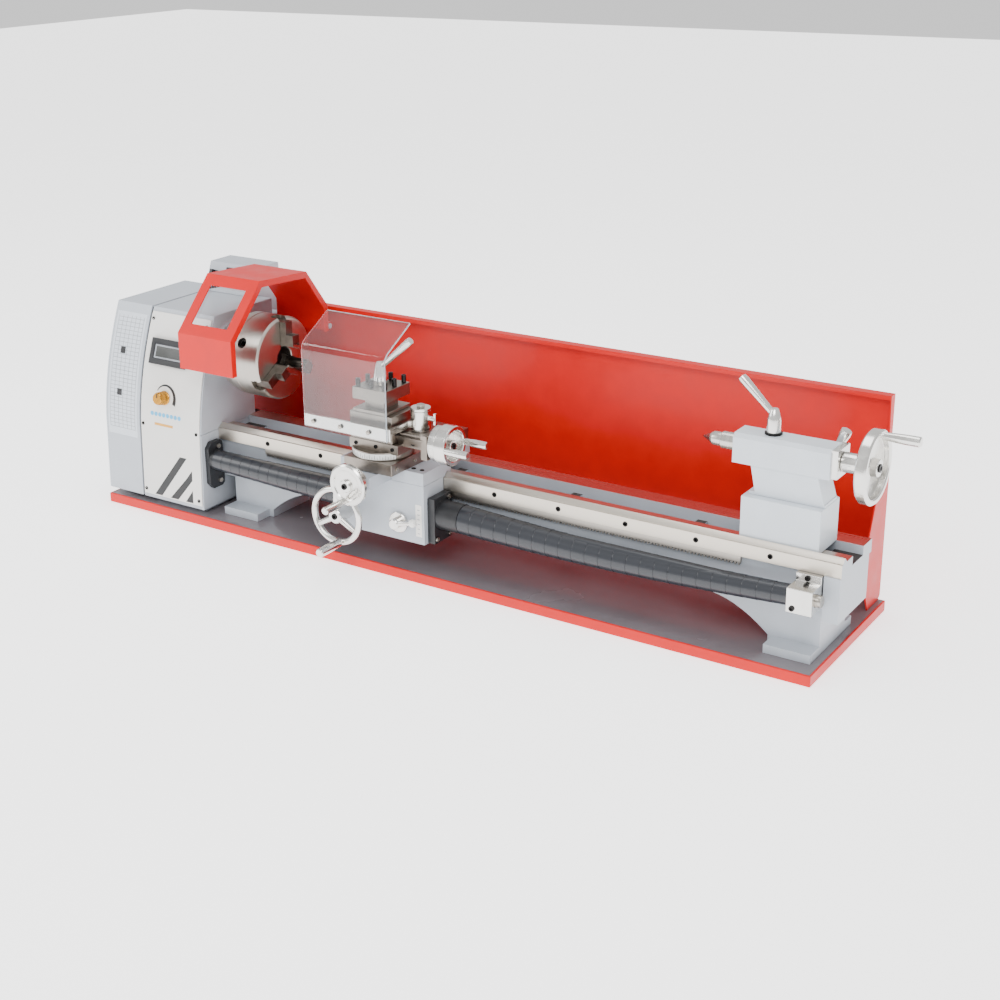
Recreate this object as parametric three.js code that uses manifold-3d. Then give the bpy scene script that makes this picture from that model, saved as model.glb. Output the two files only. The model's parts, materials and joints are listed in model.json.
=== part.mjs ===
// Bench metal lathe: 105 mm centre height, about 750 mm between centres.
// Millimetres, +Z up, +X from the headstock to the tailstock, the operator stands on the -Y side.
// While it is built, X = 0 is the chuck's front face, Y = 0 and Z = SPINDLE_Z the spindle axis,
// and Z = 0 the top of the chip tray. The finished group is shifted so that its origin is the
// middle of the footprint's box, on the surface that the tray stands on.
import * as THREE from 'three';
import * as BufferGeometryUtils from 'three/addons/utils/BufferGeometryUtils.js';
import Module from 'manifold-3d';

const wasm = await Module();
wasm.setup();

// ---------------------------------------------------------------- driving dimensions
const GAP = 0.3;                                  // clearance between neighbouring pieces
const SPINDLE_Z = 245;                            // spindle axis above the tray top
const TRAY = { x0: -301, x1: 881, y0: -93, y1: 164, height: 15, sheet: 2 };
const GUARD_PANEL = { x0: -226, x1: 872, y: 164.3, sheet: 2, top: 286, lip: 14 };
const BED = { x0: -103.7, x1: 893, front: -43, peakY: -34, back: 57, flat: 130, peak: 136.4,
  railBottom: 112, bottom: 52 };
const HEAD = { x0: -229, x1: -104, top: 302, bottom: 8, parting: 127, back: 44, shelfBack: 98 };
const COVER = { x0: -305, x1: -232.6, wall: 3, back: 117 };
const SPINDLE_RADIUS = 20;
const SCREW = { y: -62, z: 86, radius: 8 };       // leadscrew axis
const MOTOR = { y: 88, z: 78, radius: 36 };
const CHUCK = { radius: 62.5, length: 59.7 };
const HOOD = { x0: -102, x1: 0, sheet: 2, pivotY: 114, pivotZ: 266 };
const APRON = { x0: 172, x1: 314, front: -92, bottom: 45, top: 131 };
const STACK = { x: 240, y: -81 };                 // swivel and tool post centre
const POST = { x: 298, y: -71 };                  // pivot post of the chip shield
const TAIL = { x0: 735, x1: 862, half: 22 };
const GEAR_MODULE = 1.25;

// ---------------------------------------------------------------- materials
const finish = (color, roughness, metalness) =>
  new THREE.MeshStandardMaterial({ color, roughness, metalness });
const RED_PAINT = finish(0xd81f10, 0.35, 0.1);
const GREY_PAINT = finish(0xa3abb5, 0.5, 0.1);
const LIGHT_PAINT = finish(0xc3c9ce, 0.45, 0.1);
const WHITE_PANEL = finish(0xe6e4e1, 0.4, 0.0);
const BLACK_PLASTIC = finish(0x22262c, 0.45, 0.0);
const BLACK_STEEL = finish(0x1d1e20, 0.4, 0.6);
const GROUND_STEEL = finish(0xb5afa4, 0.3, 0.9);
const DARK_STEEL = finish(0x5c534c, 0.4, 0.8);
const CAST_GREY = finish(0x6d6f70, 0.6, 0.6);
const ALUMINIUM = finish(0xd0cfcc, 0.3, 0.9);
const BRASS = finish(0xc58a2e, 0.3, 0.9);
const CLEAR_SHEET = finish(0xe9eef2, 0.05, 0.0);
const RUBBER = finish(0x161616, 0.8, 0.0);
const RED_PLASTIC = finish(0xc31a12, 0.35, 0.0);
const GREEN_PLASTIC = finish(0x2f9a3a, 0.35, 0.0);

// ---------------------------------------------------------------- solid helpers
const toSolid = (geometry) => {
  const bare = geometry.index ? geometry.toNonIndexed() : geometry.clone();
  for (const name of Object.keys(bare.attributes)) if (name !== 'position') bare.deleteAttribute(name);
  const merged = BufferGeometryUtils.mergeVertices(bare, 1e-4);
  return new wasm.Manifold(new wasm.Mesh({
    numProp: 3,
    vertProperties: new Float32Array(merged.attributes.position.array),
    triVerts: new Uint32Array(merged.index.array),
  }));
};
const toGeometry = (solid) => {
  const mesh = solid.getMesh();
  const geometry = new THREE.BufferGeometry();
  geometry.setAttribute('position', new THREE.BufferAttribute(mesh.vertProperties.slice(), 3));
  geometry.setIndex(new THREE.BufferAttribute(mesh.triVerts.slice(), 1));
  geometry.computeVertexNormals();
  return geometry;
};
const join = (first, ...rest) =>
  toGeometry(rest.reduce((sum, piece) => sum.add(toSolid(piece)), toSolid(first)));
const cut = (first, ...rest) =>
  toGeometry(rest.reduce((sum, piece) => sum.subtract(toSolid(piece)), toSolid(first)));

// Box between two corners.
const box = (x0, x1, y0, y1, z0, z1) => new THREE.BoxGeometry(x1 - x0, y1 - y0, z1 - z0)
  .translate((x0 + x1) / 2, (y0 + y1) / 2, (z0 + z1) / 2);
// Cylinders along each axis; the two last numbers place the axis.
const rodX = (x0, x1, radius, y, z, sides = 24, radiusEnd = radius) =>
  new THREE.CylinderGeometry(radiusEnd, radius, x1 - x0, sides).rotateZ(-Math.PI / 2)
    .translate((x0 + x1) / 2, y, z);
const rodY = (y0, y1, radius, x, z, sides = 24, radiusEnd = radius) =>
  new THREE.CylinderGeometry(radiusEnd, radius, y1 - y0, sides).translate(x, (y0 + y1) / 2, z);
const rodZ = (z0, z1, radius, x, y, sides = 24, radiusEnd = radius) =>
  new THREE.CylinderGeometry(radiusEnd, radius, z1 - z0, sides).rotateX(Math.PI / 2)
    .translate(x, y, (z0 + z1) / 2);
// A round bar from one point to another.
const bar = (from, to, radius, sides = 16, radiusEnd = radius) => {
  const start = new THREE.Vector3(...from);
  const line = new THREE.Vector3(...to).sub(start);
  const turn = new THREE.Quaternion().setFromUnitVectors(
    new THREE.Vector3(0, 1, 0), line.clone().normalize());
  return new THREE.CylinderGeometry(radiusEnd, radius, line.length(), sides)
    .applyQuaternion(turn)
    .translate(...start.addScaledVector(line, 0.5).toArray());
};
// Extrusions of a 2-D outline: [y, z] points along X, [x, z] points along Y, [x, y] along Z.
const outline = (points) => new THREE.Shape(points.map(([a, b]) => new THREE.Vector2(a, b)));
const extrude = (shape, depth) =>
  new THREE.ExtrudeGeometry(shape, { depth, bevelEnabled: false, curveSegments: 10 });
const alongX = (points, x0, x1) => extrude(outline(points), x1 - x0)
  .applyMatrix4(new THREE.Matrix4().set(0, 0, 1, x0, 1, 0, 0, 0, 0, 1, 0, 0, 0, 0, 0, 1));
const alongY = (points, y0, y1) => extrude(outline(points), y1 - y0)
  .applyMatrix4(new THREE.Matrix4().set(1, 0, 0, 0, 0, 0, -1, y1, 0, 1, 0, 0, 0, 0, 0, 1));
const alongZ = (points, z0, z1) => extrude(outline(points), z1 - z0).translate(0, 0, z0);
// A profile of [radius, distance] points turned about an axis along X.
const turnedX = (points, y, z, sides = 32) =>
  new THREE.LatheGeometry(points.map(([r, x]) => new THREE.Vector2(r, x)), sides)
    .rotateZ(-Math.PI / 2).translate(0, y, z);

const lathe = new THREE.Group();
const add = (name, geometry, material) => {
  const mesh = new THREE.Mesh(geometry, material);
  mesh.name = name;
  lathe.add(mesh);
  return mesh;
};

// ---------------------------------------------------------------- chip tray and splash guard
add('chip_tray', cut(
  box(TRAY.x0, TRAY.x1, TRAY.y0, TRAY.y1, -TRAY.height, 0),
  box(TRAY.x0 + TRAY.sheet, TRAY.x1 - TRAY.sheet, TRAY.y0 + TRAY.sheet, TRAY.y1 - TRAY.sheet,
    -TRAY.height - 1, -TRAY.sheet),
), RED_PAINT);

const panelBack = GUARD_PANEL.y + GUARD_PANEL.sheet;
const wing = [[panelBack, GUARD_PANEL.top], [152, GUARD_PANEL.top], [156, 236], [99, 84], [102, 40],
  [120, GAP], [160, GAP], [panelBack, 6]];
add('splash_guard', join(
  box(GUARD_PANEL.x0, GUARD_PANEL.x1 - 4, GUARD_PANEL.y, panelBack, -12, GUARD_PANEL.top),
  box(GUARD_PANEL.x0, GUARD_PANEL.x1, panelBack - GUARD_PANEL.lip, panelBack,
    GUARD_PANEL.top - GUARD_PANEL.sheet, GUARD_PANEL.top),
  box(GUARD_PANEL.x0, GUARD_PANEL.x1, panelBack - GUARD_PANEL.lip,
    panelBack - GUARD_PANEL.lip + GUARD_PANEL.sheet, GUARD_PANEL.top - 6, GUARD_PANEL.top),
  alongX(wing, GUARD_PANEL.x1 - GUARD_PANEL.sheet, GUARD_PANEL.x1),
  box(GUARD_PANEL.x1 - 5, GUARD_PANEL.x1, GUARD_PANEL.y, panelBack, 6, GUARD_PANEL.top),
), RED_PAINT);

// ---------------------------------------------------------------- bed and rack
// Two walls carry the front rail with its inverted V and the flat back rail.
const bedSection = [[-36, BED.bottom], [-36, BED.railBottom], [BED.front, BED.railBottom],
  [BED.front, BED.flat], [-40.4, BED.flat], [BED.peakY, BED.peak], [-27.6, BED.flat], [-8, BED.flat],
  [-8, 118], [28, 118], [28, BED.flat], [BED.back, BED.flat], [BED.back, BED.railBottom],
  [50, BED.railBottom], [50, BED.bottom]];
const pocketCount = 5;
const ribWidth = 14;
const pocketRun = (BED.x1 - 60 - BED.x0) / pocketCount;
const pockets = Array.from({ length: pocketCount }, (_, i) => {
  const start = BED.x0 + 30 + i * pocketRun + ribWidth / 2;
  return box(start, start + pocketRun - ribWidth, -8, 28, BED.bottom - 1, 140);
});
const footArch = (x0, x1, side) => {
  const steps = 8;
  const reach = 92;
  const points = [[x0, GAP], [x1, GAP], [x1, 12]];
  for (let i = 1; i <= steps; i += 1) {
    const t = i / steps;
    points.push([x1 + reach * t, 12 + (BED.bottom + 1 - 12) * (1 - (1 - t) ** 2)]);
  }
  points.push([x0, BED.bottom + 1]);
  return side > 0 ? points : points.map(([x, z]) => [x0 + x1 - x, z]);
};
add('bed', join(
  cut(alongX(bedSection, BED.x0, BED.x1), ...pockets),
  alongY(footArch(-82, -8, 1), -36, 50),
  box(-82, -16, -64, 72, GAP, 12),
  alongY(footArch(800, 868, -1), -36, 50),
  box(806, 868, -64, 72, GAP, 12),
  box(872, BED.x1, -45.5, 50, BED.bottom, BED.railBottom),
), GREY_PAINT);
add('rack', box(-12, 761, -42, -36 - GAP, 100, BED.railBottom - GAP), DARK_STEEL);

// ---------------------------------------------------------------- headstock
// The front face leans back towards the top in one arc.
const frontProfile = (offset, top, bottom) => {
  const curve = new THREE.QuadraticBezierCurve(new THREE.Vector2(-33, 302),
    new THREE.Vector2(-74.4, 210), new THREE.Vector2(-81, 127));
  const points = curve.getPoints(12).map((p) => [p.x - offset, p.y]);
  points.push([-86 - offset, 8]);
  const inside = points.filter(([, z]) => z < top && z > bottom);
  const at = (height) => {
    const i = points.findIndex(([, z]) => z <= height);
    const [y1, z1] = points[i];
    const [y0, z0] = points[Math.max(i - 1, 0)];
    return [z0 === z1 ? y1 : y0 + (y1 - y0) * (height - z0) / (z1 - z0), height];
  };
  return [at(top), ...inside, at(bottom)];
};
const castingSection = [...frontProfile(0, HEAD.top, HEAD.parting + GAP),
  [HEAD.back, HEAD.parting + GAP], [HEAD.back, 205], [HEAD.shelfBack, 258],
  [HEAD.shelfBack, HEAD.top]];
// The casting carries the spindle bore and, at its rear, the rod that the chuck guard hinges on.
add('headstock_casting', cut(
  join(
    alongX(castingSection, HEAD.x0, HEAD.x1),
    rodX(HEAD.x1 - 1, HEAD.x1 + 8, 44, 0, SPINDLE_Z, 40),
    rodX(HEAD.x1 - 14, HOOD.x1 - 1, 4, HOOD.pivotY, HOOD.pivotZ, 20),
    box(HEAD.x1 - 22, HEAD.x1 - 2, HEAD.shelfBack - 1, HOOD.pivotY + 8, HOOD.pivotZ - 8,
      HOOD.pivotZ + 10),
  ),
  rodX(HEAD.x0 - 1, HEAD.x1 + 9, SPINDLE_RADIUS + GAP, 0, SPINDLE_Z, 32),
), GREY_PAINT);
const baseSection = [...frontProfile(0, HEAD.parting, HEAD.bottom),
  [HEAD.back, HEAD.bottom], [HEAD.back, HEAD.parting]];
add('headstock_base', cut(
  join(
    alongX(baseSection, HEAD.x0, HEAD.x1),
    box(HEAD.x0 + 10, HEAD.x1 - 10, -70, HEAD.back - 10, GAP, HEAD.bottom + 2),
  ),
  box(HEAD.x0 + 8, HEAD.x1 - 14, -50, HEAD.back - 8, -1, HEAD.parting - 8),
  rodX(HEAD.x0 - 1, HEAD.x1 + 1, SCREW.radius + 1, SCREW.y, SCREW.z, 20),
), GREY_PAINT);

const panelOuter = frontProfile(2.3, 296, 14);
const panelInner = frontProfile(GAP, 296, 14).reverse();
add('control_panel', alongX([...panelOuter, ...panelInner], HEAD.x0 + 2, HEAD.x1 - 2), WHITE_PANEL);

// Display module on the leaning part of the panel.
const display = add('display', cut(
  box(-37, 37, -4, 0, -20, 20),
  box(-29, 29, -5, -2, -11, 11),
), BLACK_PLASTIC);
display.position.set(-175.5, -61.2, 241);
display.rotation.x = -0.36;

const knobTilt = 0.188;
const knobZ = 174;
add('speed_knob', join(
  rodY(-17, 0, 9, 0, 0, 20, 11),
  box(-1.5, 1.5, -18.5, -10, -8, 10.5),
).rotateX(-knobTilt).translate(-178, -77.6, knobZ), BRASS);

// Left end plate that carries the motor, the banjo and the fixed half of the gear cover's hinge.
const plateX0 = HEAD.x0 - GAP - 3;
const plateX1 = HEAD.x0 - GAP;
const plateBack = COVER.back - 1;
const hingeX = COVER.x1 + 3.4;
const hingeY = COVER.back + 5;
const hingeBottom = 28;
const hingeTop = 202;
const coverKnuckles = [[40, 65], [165, 190]];
const fixedKnuckle = (z0, z1) => join(
  rodZ(z0, z1, 5, hingeX, hingeY, 16),
  box(plateX0, hingeX + 3, plateBack - 3, hingeY, z0, z1),
);
add('end_plate', cut(
  join(
    alongX([...frontProfile(-5, 296, 12), [plateBack, 12], [plateBack, 296]], plateX0, plateX1),
    fixedKnuckle(hingeBottom, coverKnuckles[0][0] - GAP),
    fixedKnuckle(coverKnuckles[1][1] + GAP, hingeTop),
    rodZ(hingeBottom, hingeTop, 2.4, hingeX, hingeY, 16),
  ),
  rodX(plateX0 - 1, plateX1 + 1, 22, 0, SPINDLE_Z, 32),
  rodX(plateX0 - 1, plateX1 + 1, 8, MOTOR.y, MOTOR.z, 20),
  rodX(plateX0 - 1, plateX1 + 1, SCREW.radius + 1, SCREW.y, SCREW.z, 20),
), CAST_GREY);
const coverOuter = [...frontProfile(0, HEAD.top, HEAD.bottom), [COVER.back, HEAD.bottom],
  [COVER.back, HEAD.top]];
const coverInner = [...frontProfile(-COVER.wall, HEAD.top - COVER.wall, HEAD.bottom + COVER.wall),
  [COVER.back - COVER.wall, HEAD.bottom + COVER.wall], [COVER.back - COVER.wall, HEAD.top - COVER.wall]];
const coverKnuckle = ([z0, z1]) => join(
  rodZ(z0, z1, 5, hingeX, hingeY, 16),
  box(COVER.x1 - 14, hingeX, COVER.back - 0.5, COVER.back + 2, z0, z1),
);
add('gear_cover', cut(
  join(
    cut(alongX(coverOuter, COVER.x0, COVER.x1),
      alongX(coverInner, COVER.x0 + COVER.wall, COVER.x1 + 1)),
    ...coverKnuckles.map(coverKnuckle),
  ),
  rodZ(hingeBottom, hingeTop, 2.8, hingeX, hingeY, 16),
), GREY_PAINT);

// ---------------------------------------------------------------- drive train
add('drive_motor', join(
  rodX(HEAD.x0 + 10, HEAD.x0 + 78, MOTOR.radius, MOTOR.y, MOTOR.z, 32),
  rodX(HEAD.x0, HEAD.x0 + 12, MOTOR.radius - 10, MOTOR.y, MOTOR.z, 32),
  rodX(HEAD.x0 + 77, HEAD.x0 + 82, MOTOR.radius - 12, MOTOR.y, MOTOR.z, 32),
), BLACK_STEEL);
const pulleyProfile = (radius, bore, x0, x1) => [[bore, x0], [radius + 3, x0], [radius + 3, x0 + 1.5],
  [radius, x0 + 2.5], [radius, x1 - 2.5], [radius + 3, x1 - 1.5], [radius + 3, x1], [bore, x1],
  [bore, x0]];
const motorPulleyRadius = 14;
const spindlePulleyRadius = 34;
add('motor_pulley', join(
  turnedX(pulleyProfile(motorPulleyRadius, 4, -250, -235), MOTOR.y, MOTOR.z, 24),
  rodX(-254, HEAD.x0 - GAP, 5, MOTOR.y, MOTOR.z, 16),
), ALUMINIUM);
const beltLoop = (extra) => {
  const dy = MOTOR.y;
  const dz = MOTOR.z - SPINDLE_Z;
  const span = Math.hypot(dy, dz);
  const heading = Math.atan2(dz, dy);
  const big = spindlePulleyRadius + extra;
  const small = motorPulleyRadius + extra;
  const wrap = Math.acos((big - small) / span);
  const arc = (cy, cz, r, from, to, steps) => Array.from({ length: steps + 1 }, (_, i) => {
    const a = from + (to - from) * i / steps;
    return [cy + r * Math.cos(a), cz + r * Math.sin(a)];
  });
  return [
    ...arc(0, SPINDLE_Z, big, heading + wrap, heading + 2 * Math.PI - wrap, 20),
    ...arc(MOTOR.y, MOTOR.z, small, heading - wrap, heading + wrap, 12),
  ];
};
add('drive_belt', cut(
  alongX(beltLoop(2.5), -247, -238),
  alongX(beltLoop(GAP), -248, -237),
), RUBBER);

// Gear with trapezoid teeth; phase is the angle of one tooth's middle, from +Y towards +Z.
const gear = (teeth, x0, x1, y, z, phase, bore) => {
  const pitch = GEAR_MODULE * teeth / 2;
  const step = 2 * Math.PI / teeth;
  const shape = new THREE.Shape();
  const corners = [[-0.30, -1.1], [-0.14, 0.8], [0.14, 0.8], [0.30, -1.1]];
  const points = [];
  for (let i = 0; i < teeth; i += 1) {
    for (const [across, high] of corners) {
      const angle = phase + (i + across) * step;
      const radius = pitch + high * GEAR_MODULE;
      points.push(new THREE.Vector2(y + radius * Math.cos(angle), z + radius * Math.sin(angle)));
    }
  }
  shape.setFromPoints(points);
  const hole = new THREE.Path();
  hole.absarc(y, z, bore, 0, 2 * Math.PI, true);
  shape.holes.push(hole);
  return extrude(shape, x1 - x0)
    .applyMatrix4(new THREE.Matrix4().set(0, 0, 1, x0, 1, 0, 0, 0, 0, 1, 0, 0, 0, 0, 0, 1));
};
// The train runs spindle gear, two idlers, leadscrew gear. The first idler hangs a little behind
// the straight line between the end gears, and the second is placed to mesh with its neighbours.
const gearTeeth = [28, 58, 58, 20];
const pitchRadius = gearTeeth.map((teeth) => GEAR_MODULE * teeth / 2);
const firstBearing = THREE.MathUtils.degToRad(-95.6);
const firstSpan = pitchRadius[0] + pitchRadius[1];
const firstIdler = [firstSpan * Math.cos(firstBearing),
  SPINDLE_Z + firstSpan * Math.sin(firstBearing)];
const meetBetween = ([ay, az], radiusA, [by, bz], radiusB) => {
  const span = Math.hypot(by - ay, bz - az);
  const run = (span ** 2 + radiusA ** 2 - radiusB ** 2) / (2 * span);
  const side = Math.sqrt(radiusA ** 2 - run ** 2);
  const [uy, uz] = [(by - ay) / span, (bz - az) / span];
  return [ay + run * uy - side * uz, az + run * uz + side * uy];
};
const secondIdler = meetBetween(firstIdler, pitchRadius[1] + pitchRadius[2],
  [SCREW.y, SCREW.z], pitchRadius[2] + pitchRadius[3]);
const gearCentres = [[0, SPINDLE_Z], firstIdler, secondIdler, [SCREW.y, SCREW.z]];
const gearPhases = [0];
for (let i = 1; i < gearCentres.length; i += 1) {
  const [y0, z0] = gearCentres[i - 1];
  const [y1, z1] = gearCentres[i];
  const toward = Math.atan2(z1 - z0, y1 - y0);
  gearPhases.push(toward + Math.PI + Math.PI / gearTeeth[i]
    - (gearPhases[i - 1] - toward) * gearTeeth[i - 1] / gearTeeth[i]);
}
const gearBores = [12 + GAP, 5 + GAP, 5 + GAP, 6 + GAP];
const trainGears = gearCentres.map(([y, z], i) =>
  gear(gearTeeth[i], -267, -257, y, z, gearPhases[i], gearBores[i]));
// The first gear and the belt pulley are one piece, seated on the spindle's shoulder.
const shoulderX = -250;
const rimRadius = spindlePulleyRadius + 3;
add('spindle_pulley', join(
  turnedX([[12 + GAP, -258], [14, -258], [14, -253], [rimRadius, -253], [rimRadius, -249],
    [spindlePulleyRadius, -248], [spindlePulleyRadius, -237.5], [rimRadius, -236.5],
    [rimRadius, -235], [19 + GAP, -235], [19 + GAP, shoulderX - GAP], [12 + GAP, shoulderX - GAP],
    [12 + GAP, -258]], 0, SPINDLE_Z, 32),
  trainGears[0],
), ALUMINIUM);
add('idler_gear_1', trainGears[1], DARK_STEEL);
add('idler_gear_2', trainGears[2], DARK_STEEL);
add('leadscrew_gear', trainGears[3], DARK_STEEL);
const banjoArm = (from, to, half) => {
  const dy = to[0] - from[0];
  const dz = to[1] - from[1];
  const length = Math.hypot(dy, dz);
  const side = [-dz / length * half, dy / length * half];
  return alongX([[from[0] + side[0], from[1] + side[1]], [from[0] - side[0], from[1] - side[1]],
    [to[0] - side[0], to[1] - side[1]], [to[0] + side[0], to[1] + side[1]]], -255.5, -252.5);
};
const stud = ([y, z]) => join(
  rodX(-255.5, -252.5, 12, y, z, 24),
  rodX(-256.4, -252.5, 8, y, z, 20),
  rodX(-270, -252.5, 5, y, z, 16),
);
add('gear_banjo', cut(
  join(
    rodX(-255.5, plateX0 - GAP, 14, SCREW.y, SCREW.z, 24),
    banjoArm([SCREW.y, SCREW.z], gearCentres[2], 10),
    banjoArm(gearCentres[2], gearCentres[1], 10),
    stud(gearCentres[1]),
    stud(gearCentres[2]),
  ),
  rodX(-257, plateX0, SCREW.radius + GAP, SCREW.y, SCREW.z, 20),
), CAST_GREY);

// Hollow spindle with its chuck flange, and the three-jaw chuck.
const spindleProfile = [[9, -272], [12, -272], [12, shoulderX], [19, shoulderX], [19, -234],
  [SPINDLE_RADIUS, -234], [SPINDLE_RADIUS, -90], [34, -90], [34, -74], [58, -74], [58, -60],
  [9, -60], [9, -272]];
add('spindle', turnedX(spindleProfile, 0, SPINDLE_Z, 40), GROUND_STEEL);

const jawAngles = [90, 210, 330].map(THREE.MathUtils.degToRad);
const aroundSpindle = (geometry, angle) => geometry.rotateX(angle).translate(0, 0, SPINDLE_Z);
const keySocket = (angle) => aroundSpindle(rodY(50, 64, 8, -34, 0, 20), angle);
const jawSlot = (angle) => aroundSpindle(box(-18, 1, 8, 70, -8, 8), angle);
add('chuck_body', cut(
  turnedX([[16, -CHUCK.length], [60, -CHUCK.length], [CHUCK.radius, -CHUCK.length + 2.5],
    [CHUCK.radius, -2], [60.5, 0], [16, 0], [16, -CHUCK.length]], 0, SPINDLE_Z, 56),
  ...jawAngles.map(jawSlot),
  ...jawAngles.map((angle) => keySocket(angle + Math.PI / 3)),
), GROUND_STEEL);
const jawSteps = [[-17.5, 8.5], [35, 8.5], [35, 22], [23.5, 22], [23.5, 38], [11.5, 38], [11.5, 57],
  [-17.5, 57]];
jawAngles.forEach((angle, i) => {
  const blank = alongZ(jawSteps, -7.5, 7.5);
  const relief = [-1, 1].map((side) => alongZ([[-18, 4], [36, 4], [36, 17], [-18, 17]], -20, 20)
    .rotateX(side * THREE.MathUtils.degToRad(60)));
  add(`chuck_jaw_${i + 1}`, aroundSpindle(cut(blank, ...relief), angle), DARK_STEEL);
});

// ---------------------------------------------------------------- chuck guard
const offsetHood = (inset) => [[-116 + inset, 243], [-116 + inset, 297 - inset * 0.4],
  [-45 + inset * 0.4, 371 - inset], [60 - inset * 0.3, 364 - inset], [108 - inset, 301 - inset * 0.3],
  [108 - inset, 260]];
const hoodShell = (inset, x0, x1) =>
  alongX([...offsetHood(0), ...offsetHood(inset).reverse()], x0, x1);
const knuckleBox = box(HOOD.x0 + 3, HOOD.x1 - 3, 106.2, HOOD.pivotY, 260, 264);
const windowCut = new THREE.BoxGeometry(68, 30, 66).rotateX(-Math.atan2(71, 74))
  .translate(-51, -80.5, 334);
add('chuck_guard', cut(
  join(
    hoodShell(HOOD.sheet, HOOD.x0, HOOD.x1),
    hoodShell(10, HOOD.x1 - HOOD.sheet, HOOD.x1),
    knuckleBox,
    rodX(HOOD.x0 + 3, HOOD.x1 - 3, 7, HOOD.pivotY, HOOD.pivotZ, 20),
  ),
  windowCut,
  rodX(HOOD.x0, HOOD.x1, 4.3, HOOD.pivotY, HOOD.pivotZ, 20),
), RED_PAINT);
const guardWindow = add('guard_window', box(-40, 40, -1, 1, -39, 39), CLEAR_SHEET);
guardWindow.position.set(-51, -77.4, 330.8);
guardWindow.rotation.x = -Math.atan2(71, 74);

// ---------------------------------------------------------------- electrical box
const boxSection = [[82, HEAD.top + GAP], [100, 347], [147, 347], [147, 205], [HEAD.shelfBack + GAP, 205],
  [HEAD.shelfBack + GAP, HEAD.top + GAP]];
const slopeTilt = Math.atan2(18, 45);
const onSlope = (geometry, x, high, lift) => geometry.rotateX(-slopeTilt).translate(x,
  82 + 18 * (high - HEAD.top) / 45 - lift * Math.cos(slopeTilt),
  high + lift * Math.sin(slopeTilt));
const stopX = -176.6;
const startX = -153.4;
const buttonZ = 328;
const buttonPocket = (x) => onSlope(box(-11.2, 11.2, -1, 4, -9.7, 9.7), x, buttonZ, 0);
add('control_box', cut(
  join(
    alongX(boxSection, HEAD.x0, HEAD.x1 - 24.5),
    rodY(146, 152, 9, -150, 230, 6),
    rodY(151, 159, 6.5, -150, 230, 16),
  ),
  buttonPocket(stopX),
  buttonPocket(startX),
), GREY_PAINT);
add('stop_button', onSlope(box(-10.5, 10.5, -6, 0, -9, 9), stopX, buttonZ, 0.4), RED_PLASTIC);
add('start_button', onSlope(box(-10.5, 10.5, -4, 0, -9, 9), startX, buttonZ, 0.4),
  GREEN_PLASTIC);
add('direction_switch', onSlope(join(
  rodY(-8, 0, 9, 0, 0, 20),
  box(-2.5, 2.5, -14, -7, -8.5, 8.5),
), -212, 326, 0.4), BLACK_PLASTIC);

// ---------------------------------------------------------------- leadscrew and its supports
const flangeShape = [[-76, 105], [-68, 114], [-49, 114], [-44, 110], [-44, 44], [-49, 40], [-68, 40],
  [-76, 49]];
add('leadscrew_flange', cut(
  join(
    alongX(flangeShape, HEAD.x1 + GAP, HEAD.x1 + 8),
    rodX(HEAD.x1 + 7, HEAD.x1 + 14, 15, SCREW.y, SCREW.z, 24),
  ),
  rodX(HEAD.x1 - 1, HEAD.x1 + 15, SCREW.radius + GAP, SCREW.y, SCREW.z, 20),
), BLACK_PLASTIC);
add('leadscrew', join(
  rodX(-230, 878, SCREW.radius, SCREW.y, SCREW.z, 16),
  rodX(-272, -229, 6, SCREW.y, SCREW.z, 16),
), GROUND_STEEL);
const bracketX0 = 838;
const bracketSection = [[-78, 70], [-36 - GAP, 70], [-36 - GAP, BED.railBottom - GAP],
  [-50, BED.railBottom - GAP], [-50, 102], [-78, 102]];
add('leadscrew_bracket', cut(
  alongX(bracketSection, bracketX0, 871),
  rodX(bracketX0 - 1, 873, SCREW.radius + GAP, SCREW.y, SCREW.z, 20),
), ALUMINIUM);
// Spiral band covers over the leadscrew. Each end has a radius and a drop below the screw's axis,
// and the wide coils sag between them; the bore stays on the axis.
const bandCover = (start, end, sag) => {
  const stations = 10;
  const bore = SCREW.radius + GAP;
  const mix = (a, b, t) => a + (b - a) * t;
  const profile = [[bore, start.x]];
  for (let i = 0; i <= stations; i += 1) {
    const t = i / stations;
    profile.push([mix(start.radius, end.radius, t), mix(start.x, end.x, t)]);
  }
  profile.push([bore, end.x], [bore, start.x]);
  const tube = turnedX(profile, SCREW.y, SCREW.z, 24);
  const places = tube.attributes.position;
  for (let i = 0; i < places.count; i += 1) {
    const t = (places.getX(i) - start.x) / (end.x - start.x);
    const outer = Math.hypot(places.getY(i) - SCREW.y, places.getZ(i) - SCREW.z) > bore + 1;
    if (outer) {
      const drop = mix(start.drop, end.drop, t) + sag * Math.sin(Math.PI * t);
      places.setZ(i, places.getZ(i) - drop);
    }
  }
  return tube;
};
const collarEnd = APRON.x1 + 46;                  // the wide end of the right cover sits in a collar
add('left_screw_cover', bandCover(
  { x: HEAD.x1 + 14 + GAP, radius: 15.5, drop: 0.5 },
  { x: APRON.x0 - GAP, radius: 20.5, drop: 5 }, 0.5), BLACK_STEEL);
add('right_screw_cover', bandCover(
  { x: collarEnd + GAP, radius: 20.5, drop: 3 },
  { x: bracketX0 - GAP, radius: 13.5, drop: 0 }, 6.3), BLACK_STEEL);

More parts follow.
